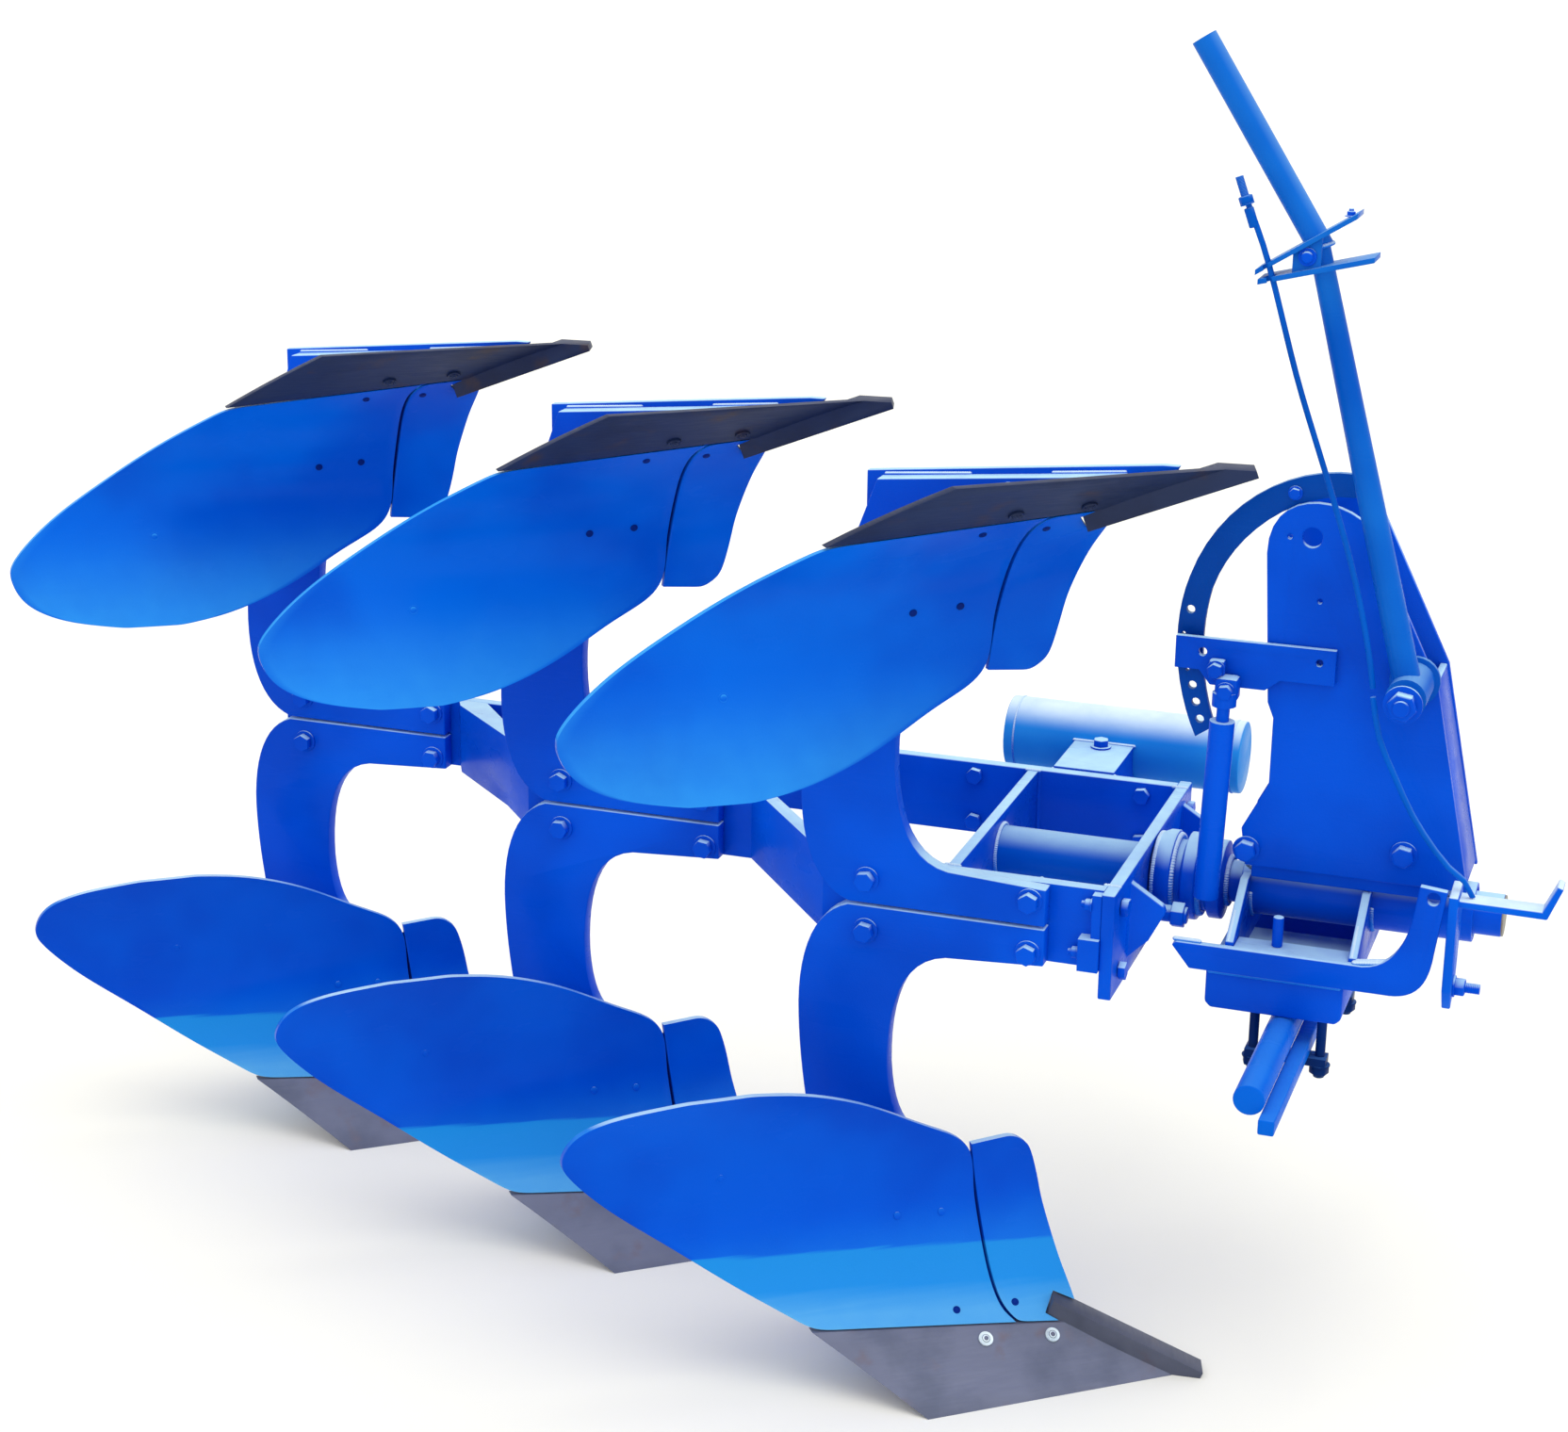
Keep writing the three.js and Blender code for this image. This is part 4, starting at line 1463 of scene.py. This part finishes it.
@dataclass
class BeamFrame:
    """The beams, cross plates, shaft and counterweight. Sizes in mm."""

    shop: Workshop
    beam_half_h: float = 57
    near_inner_y: float = -231.7
    far_near_y: float = 210.3
    far_outer_y: float = 230.3
    cross_x: tuple[float, float] = (102, 118)
    front_x: tuple[float, float] = (330.3, 348.3)
    sleeve_r: float = 38
    weight_x: tuple[float, float] = (20, 394)
    weight_at: tuple[float, float, float] = (420, 45, 57)
    saddle_x: tuple[float, float] = (136, 230)
    saddle_top: float = 60

    def build(self) -> None:
        """Builds and dresses the frame."""
        shop = self.shop
        for node in ("near_beam", "far_beam", "rear_cross_plate", "front_plate"):
            shop.finish_node(node, Body.TURNOVER, FRAME_ENAMEL, Slot.FRAME, 2.2)
        shop.finish_node("shaft_sleeve", Body.TURNOVER, SLEEVE_ENAMEL, Slot.FRAME, 2.5)
        shop.finish_node("counterweight", Body.TURNOVER, PALE_ENAMEL, Slot.FRAME, 2.5)
        for node in ("turnover_shaft", "stop_rod", "counterweight_saddle"):
            shop.finish_node(node, Body.TURNOVER, FRAME_ENAMEL, Slot.FRAME, 1.5)
        self.bolts()
        self.welds()

    def bolts(self) -> None:
        """Bolts through the far beam, the front plate and the saddle."""
        shop = self.shop
        master = HexBolt(13, 10, 0.1, 0.2).model(shop)
        washered = HexBolt(12.5, 10, 16).model(shop)
        made = []
        for x in (19, 279):
            for z in (-37, 37):
                made.append(shop.stamp(master, shop.at(x, self.far_near_y, z), -Y_AXIS, x))
        for y in (-224, 205):
            for z in (26, -67):
                made.append(shop.stamp(master, shop.at(self.front_x[1], y, z), X_AXIS, z))
        small = HexBolt(8.5, 8, 10, 2, thread=7).model(shop)
        for z in (38, -34):
            made.append(shop.stamp(small, shop.at(317 if z > 0 else 301, -261, z), -X_AXIS, z))
        made.append(shop.stamp(washered, shop.at(183, 342, self.saddle_top), Z_AXIS, 12))
        shop.discard(master, washered, small)
        shop.fit(shop.join("frame_bolts", made), Body.TURNOVER, FRAME_ENAMEL, Slot.FRAME)

    def welds(self) -> None:
        """Weld runs where the frame's plates and tubes meet."""
        shop = self.shop
        half = self.beam_half_h
        corners = []
        for x in (self.cross_x[0] - 1, self.cross_x[1] + 1, self.front_x[0] - 1):
            for y in (self.near_inner_y + 1, self.far_near_y - 1):
                corners.append(shop.weld((x, y, -half + 3), (x, y, half - 3), 4.2))
        shop.fit(shop.join("corner_welds", corners), Body.TURNOVER, FRAME_ENAMEL, Slot.FRAME, 60)
        runs = []
        for x in (self.cross_x[1] + 1, self.front_x[0] - 1):
            runs.append(shop.weld_ring((x, 0, 0), X_AXIS, self.sleeve_r + 1.5, 3.5))
        y, z, r = self.weight_at
        for x in (self.weight_x[0] + 16, self.weight_x[1] - 14):
            runs.append(shop.weld_ring((x, y, z), X_AXIS, r - 0.6, 1.8, 14, 346))
        rear, front = self.saddle_x
        seat_y = y - math.sqrt((r + 1) ** 2 - (self.saddle_top - z) ** 2)
        runs.append(shop.weld((rear, seat_y, self.saddle_top), (front, seat_y, self.saddle_top), 3.2))
        for x in (rear - 1, front + 1):
            edge_y = self.far_outer_y + 1
            runs.append(shop.weld((x, edge_y, -30), (x, edge_y, self.saddle_top - 6), 3))
        for x in (self.cross_x[0] + 8, self.front_x[0] + 6):
            for y in (self.near_inner_y + 2, self.far_near_y - 2):
                runs.append(shop.weld((x - 9, y, half - 1), (x + 9, y, half - 1), 3.6))
        shop.fit(shop.join("frame_welds", runs), Body.TURNOVER, WELD_ENAMEL, Slot.FRAME, 60)
        self.hub_welds()

    def hub_welds(self) -> None:
        """Rough weld rings round the hub and the bare end of the shaft."""
        shop = self.shop
        rings = [
            shop.weld_ring((x, 0, 0), X_AXIS, r, size)
            for x, r, size in ((354, 55, 4), (380, 55, 5), (418, 52, 5), (456, 34, 4))
        ]
        shop.fit(shop.join("hub_welds", rings), Body.TURNOVER, WELD_ENAMEL, Slot.FRAME, 60)
        cap = shop.cylinder(29, 3, 32)
        shop.round_edges(cap, 1.2)
        end = shop.stamp(cap, shop.at(837.5, 0, 0), X_AXIS)
        shop.discard(cap)
        end.name = "shaft_end"
        shop.fit(end, Body.TURNOVER, SHAFT_STEEL, Slot.STEEL)


@dataclass(frozen=True)
class Dressing:
    """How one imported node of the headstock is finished. Sizes in mm."""

    node: str
    edge: float
    finish: Enamel = FRAME_ENAMEL
    slot: Slot = Slot.FRAME
    holes: tuple[tuple[Point, Vector, float], ...] = ()


RAIL_HOLE = ((758, -156, 72), Y_AXIS, 9)
MAST_HOLES = (((519, -59, 526), Y_AXIS, 3.5), ((565, -59, 440), Y_AXIS, 3.5))
BAR_HOLES = (((412, -71, 356), Y_AXIS, 6), ((572, -71, 357), Y_AXIS, 5))
ARC_HOLES = (((380, -49, 373), Y_AXIS, 2.6), ((388, -49, 322), Y_AXIS, 2.6))
HEADSTOCK_NODES = (
    Dressing("mast_plate_near", 1.6, holes=MAST_HOLES),
    Dressing("mast_plate_far", 1.6),
    Dressing("mast_front_wall", 2),
    Dressing("bearing_tube", 1.6),
    Dressing("strut", 1.6),
    Dressing("cross_gusset_rear", 1.6),
    Dressing("cross_gusset_front", 1.6),
    Dressing("hitch_rail_near", 2, holes=(RAIL_HOLE,)),
    Dressing("hitch_rail_far", 1.6),
    Dressing("hitch_box", 5),
    Dressing("quadrant_bar", 1.2, holes=BAR_HOLES),
    Dressing("quadrant_arc", 1.2, ARC_ENAMEL, holes=ARC_HOLES),
    Dressing("crossbar", 2.5, BAR_ENAMEL),
    Dressing("crossbar_keeper", 2.5, BAR_ENAMEL),
    Dressing("latch", 2, LATCH_ENAMEL),
    Dressing("clamp_bolts_near", 1.5, CLAMP_ENAMEL, Slot.FASTENER),
    Dressing("clamp_bolts_far", 1.5, CLAMP_ENAMEL, Slot.FASTENER),
    Dressing("cable_lower", 0.2, CABLE_ENAMEL, Slot.CABLE),
)


@dataclass
class Headstock:
    """The mast, bearing tube, hitch box, crossbar, quadrant and latch. Sizes in mm."""

    shop: Workshop
    mast_face_y: float = -64
    tube_r: float = 42
    gusset_x: tuple[float, float] = (480, 650)
    clamp_x: tuple[float, float] = (523, 617)
    clamp_y: tuple[float, float] = (-118, 118)
    clamp_foot_z: float = -209
    weld_runs: tuple[tuple[Point, Point, float], ...] = (
        ((462, -152, -78), (640, -152, -78), 4),
        ((494, -54, 104), (494, -54, 60), 2.5),
        ((660, -156, -37), (700, -156, -32), 4.5),
        ((664, -152, -36), (698, -152, -31), 4.5),
        ((484, -146, -34), (484, -104, -6), 3),
        ((654, -146, -34), (654, -104, -6), 3),
        ((412, -157, -36), (446, -157, -36), 3.5),
    )

    def build(self) -> None:
        """Builds and dresses the headstock."""
        for one in HEADSTOCK_NODES:
            self.shop.finish_node(
                one.node, Body.HEADSTOCK, one.finish, one.slot, one.edge, one.holes
            )
        self.bolts()
        self.strut_top()
        self.clamp_nuts()
        self.welds()

    def bolts(self) -> None:
        """Bolts and studs of the mast and the latch."""
        shop = self.shop
        large = HexBolt(15.5, 12, 19).model(shop)
        small = HexBolt(8, 6, 10, 2).model(shop)
        stud = HexBolt(13, 12, 15, 3, thread=22).model(shop)
        places = [
            (large, (487, self.mast_face_y, 74), -Y_AXIS),
            (large, (703, self.mast_face_y, 94), -Y_AXIS),
            (small, (521, -54, 584), -Y_AXIS),
            (stud, (790, -125, -63), X_AXIS),
        ]
        made = [shop.stamp(master, shop.at(*at), along, 17) for master, at, along in places]
        pin = shop.cylinder(7.5, 44, 24)
        shop.round_edges(pin, 2, 3)
        made.append(shop.stamp(pin, shop.at(549, -131, -38), Z_AXIS))
        shop.discard(large, small, stud, pin)
        shop.fit(shop.join("headstock_bolts", made), Body.HEADSTOCK, FRAME_ENAMEL, Slot.FRAME)

    def strut_top(self) -> None:
        """The tapered knuckle and cross bolt that hang the strut from the quadrant bar."""
        shop = self.shop
        knuckle = shop.block((436, -106, 296), (468, -78, 330), 6)
        arm = shop.block((424, -94, 322), (446, -77, 350), 4)
        bolt = HexBolt(11, 9, 13, 2).model(shop)
        made = [knuckle, arm]
        made.append(shop.stamp(bolt, shop.at(435, -94, 338), -Y_AXIS, 12))
        made.append(shop.stamp(bolt, shop.at(452, -106, 312), -Y_AXIS, 40))
        shop.discard(bolt)
        shop.fit(shop.join("strut_knuckle", made), Body.HEADSTOCK, FRAME_ENAMEL, Slot.FRAME)

    def clamp_nuts(self) -> None:
        """Nuts under the straps that hold the crossbar."""
        shop = self.shop
        nut = HexBolt(14, 11, 15, 2.5, thread=8).model(shop)
        made = []
        for y in self.clamp_y:
            for x in self.clamp_x:
                made.append(shop.stamp(nut, shop.at(x, y, self.clamp_foot_z), -Z_AXIS, x))
        shop.discard(nut)
        shop.fit(shop.join("clamp_nuts", made), Body.HEADSTOCK, CLAMP_ENAMEL, Slot.FASTENER)

    def welds(self) -> None:
        """Weld runs of the headstock."""
        shop = self.shop
        runs = [shop.weld(*run) for run in self.weld_runs]
        for x in self.gusset_x:
            for side in (-1, 13):
                runs.append(shop.weld_ring((x + side, 0, 0), X_AXIS, self.tube_r + 1, 3, 180, 360))
        shop.fit(shop.join("headstock_welds", runs), Body.HEADSTOCK, WELD_ENAMEL, Slot.FRAME, 60)


@dataclass
class LeverAssembly:
    """The hand lever, its trigger and its cable. Sizes in mm."""

    shop: Workshop
    pivot: Point = (700, -184, 345)
    trigger_bolt: Point = (531, -147, 915)
    trigger_stud: Point = (580, -130, 967)
    grip_seam: Point = (542, -122, 926)
    grip_lean: tuple[float, float, float] = (-0.3, 0, 1)
    cable_top: Point = (438, -148, 1010)
    cable_foot: Point = (462, -148, 945)
    grip_wall: float = 3.2
    grip_depth: float = 30

    def build(self) -> None:
        """Builds and dresses the lever."""
        shop = self.shop
        lever = shop.take_over("control_lever")
        shop.flatten(lever)
        self.hollow_grip(lever)
        shop.round_edges(lever, 1.4)
        shop.fit(lever, Body.LEVER, LEVER_ENAMEL, Slot.FRAME)
        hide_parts("control_lever")
        shop.finish_node("cable_upper", Body.LEVER, CABLE_ENAMEL, Slot.CABLE, 0.2)
        self.pivot_nut()
        self.cable_end()

    def hollow_grip(self, lever: bpy.types.Object) -> None:
        """Opens the top end of the grip, which is a plain tube.

        Args:
            lever: the lever's flat-faced copy.
        """
        self.shop.choose(lever)
        end = max(lever.data.polygons, key=lambda face: face.center.z)
        inward = -end.normal * self.grip_depth * MM
        for face in lever.data.polygons:
            face.select = face.index == end.index
        bpy.ops.object.mode_set(mode="EDIT")
        bpy.ops.mesh.select_mode(type="FACE")
        bpy.ops.mesh.inset(thickness=self.grip_wall * MM)
        bpy.ops.mesh.extrude_region_move(TRANSFORM_OT_translate={"value": inward})
        bpy.ops.object.mode_set(mode="OBJECT")

    def pivot_nut(self) -> None:
        """The lever's pivot nut and the bolts of its trigger plates."""
        shop = self.shop
        nut = HexBolt(20, 14, 26, 4, thread=8).model(shop)
        bolt = DomedNut(12, 8, 7).model(shop)
        stud = HexBolt(6, 5, 8, 1.5, thread=5).model(shop)
        made = [
            shop.stamp(nut, shop.at(*self.pivot), -Y_AXIS, 20),
            shop.stamp(bolt, shop.at(*self.trigger_bolt), -Y_AXIS),
            shop.stamp(stud, shop.at(*self.trigger_stud), Z_AXIS, 15),
        ]
        shop.discard(nut, bolt, stud)
        shop.fit(shop.join("lever_bolts", made), Body.LEVER, FRAME_ENAMEL, Slot.FRAME)
        seam = [shop.weld_ring(self.grip_seam, Vector(self.grip_lean), 17, 3)]
        shop.fit(shop.join("grip_weld", seam), Body.LEVER, WELD_ENAMEL, Slot.FRAME, 60)

    def cable_end(self) -> None:
        """The threaded end, nuts and ferrule of the release cable."""
        shop = self.shop
        foot = shop.at(*self.cable_foot)
        along = (shop.at(*self.cable_top) - foot).normalized()
        rod = threaded_rod(shop, 5.5, 30, 0)
        nut = HexBolt(9.5, 9, 9.5, 2).model(shop)
        ferrule = shop.cylinder(6.5, 26, 20)
        shop.round_edges(ferrule, 1.5)
        made = [
            shop.stamp(rod, foot + along * 42 * MM, along),
            shop.stamp(nut, foot + along * 34 * MM, along, 10),
            shop.stamp(ferrule, foot + along * 4 * MM, along),
        ]
        shop.discard(rod, nut, ferrule)
        shop.fit(shop.join("cable_end_fitting", made), Body.LEVER, CABLE_ENAMEL, Slot.CABLE)


@dataclass
class Studio:
    """The floor, the light and the camera. Sizes in metres and degrees."""

    floor_size: float = 140
    camera_at: Point = (1.3965, -3.85635, 2.1556)
    yaw: float = 0.33275
    pitch: float = 0.31081
    roll: float = 0.0127
    lens: float = 67.70
    sky_strength: float = 1.0
    sun_strength: float = 1.05
    sun_width: float = math.radians(50)
    sun_from: Point = (0.25, -0.12, 1.0)

    def build(self) -> None:
        """Sets up the floor, lights and camera."""
        self.floor()
        self.sky()
        self.sun()
        self.lamp("fill_lamp", (-1.6, -5.2, 3.2), 4.0, 10)
        self.camera()
        bpy.context.scene.view_settings.view_transform = "Standard"

    def floor(self) -> None:
        """A plain pale floor."""
        bpy.ops.object.select_all(action="DESELECT")
        bpy.ops.mesh.primitive_plane_add(size=self.floor_size)
        floor = bpy.context.view_layer.objects.active
        floor.name = "studio_floor"
        made = bpy.data.materials.new("pale_floor")
        made.use_nodes = True
        tree = made.node_tree
        noise = tree.nodes.new("ShaderNodeTexNoise")
        noise.inputs["Scale"].default_value = 0.8
        place = tree.nodes.new("ShaderNodeTexCoord")
        tree.links.new(place.outputs["Object"], noise.inputs["Vector"])
        tone = tree.nodes.new("ShaderNodeValToRGB")
        tone.color_ramp.elements[0].color = (0.9, 0.885, 0.8, 1)
        tone.color_ramp.elements[1].color = (0.92, 0.905, 0.82, 1)
        tree.links.new(noise.outputs["Fac"], tone.inputs["Fac"])
        shader = tree.nodes["Principled BSDF"]
        tree.links.new(tone.outputs["Color"], shader.inputs["Base Color"])
        shader.inputs["Roughness"].default_value = 0.9
        shader.inputs["Specular IOR Level"].default_value = 0.1
        floor.data.materials.append(made)

    def sky(self) -> None:
        """Even white light from all round."""
        world = bpy.data.worlds.new("studio_world")
        world.use_nodes = True
        shade = world.node_tree.nodes["Background"]
        shade.inputs["Color"].default_value = (1.0, 1.0, 1.0, 1)
        shade.inputs["Strength"].default_value = self.sky_strength
        bpy.context.scene.world = world

    def sun(self) -> None:
        """A very soft sun from behind and above, which lays the shadow towards the viewer."""
        light = bpy.data.lights.new("soft_sun", "SUN")
        light.energy = self.sun_strength
        light.angle = self.sun_width
        lamp = bpy.data.objects.new("soft_sun", light)
        bpy.context.scene.collection.objects.link(lamp)
        lamp.rotation_euler = Vector(self.sun_from).to_track_quat("Z", "Y").to_euler()

    def lamp(self, name: str, at: Point, size: float, power: float) -> None:
        """A soft square lamp that looks at the plough.

        Args:
            name: its name.
            at: its place.
            size: its side.
            power: its power in watts.
        """
        light = bpy.data.lights.new(name, "AREA")
        light.size = size
        light.energy = power
        lamp = bpy.data.objects.new(name, light)
        bpy.context.scene.collection.objects.link(lamp)
        lamp.location = at
        aim = Vector((0, 0, 0.6)) - Vector(at)
        lamp.rotation_euler = aim.to_track_quat("-Z", "Y").to_euler()

    def camera(self) -> None:
        """The camera, three quarters from the front on the near side."""
        data = bpy.data.cameras.new("studio_camera")
        data.sensor_width = 36
        data.sensor_fit = "HORIZONTAL"
        data.lens = self.lens
        back = Vector(
            (
                math.sin(self.yaw) * math.cos(self.pitch),
                -math.cos(self.yaw) * math.cos(self.pitch),
                math.sin(self.pitch),
            )
        )
        level_right = (-back).cross(Z_AXIS).normalized()
        level_up = level_right.cross(-back)
        right = level_right * math.cos(self.roll) + level_up * math.sin(self.roll)
        up = level_up * math.cos(self.roll) - level_right * math.sin(self.roll)
        camera = bpy.data.objects.new("studio_camera", data)
        bpy.context.scene.collection.objects.link(camera)
        turn = Matrix((right, up, back)).transposed().to_4x4()
        camera.matrix_world = Matrix.Translation(Vector(self.camera_at)) @ turn
        bpy.context.scene.camera = camera


def main() -> None:
    """Builds the plough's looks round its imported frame."""
    logging.basicConfig(level=logging.INFO, format="%(message)s")
    random.seed(7)
    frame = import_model()
    shop = Workshop(frame["nodes"], Paintbox())
    BeamFrame(shop).build()
    PloughBodies(shop).build()
    Headstock(shop).build()
    LeverAssembly(shop).build()
    Studio().build()


if __name__ == "__main__":
    main()
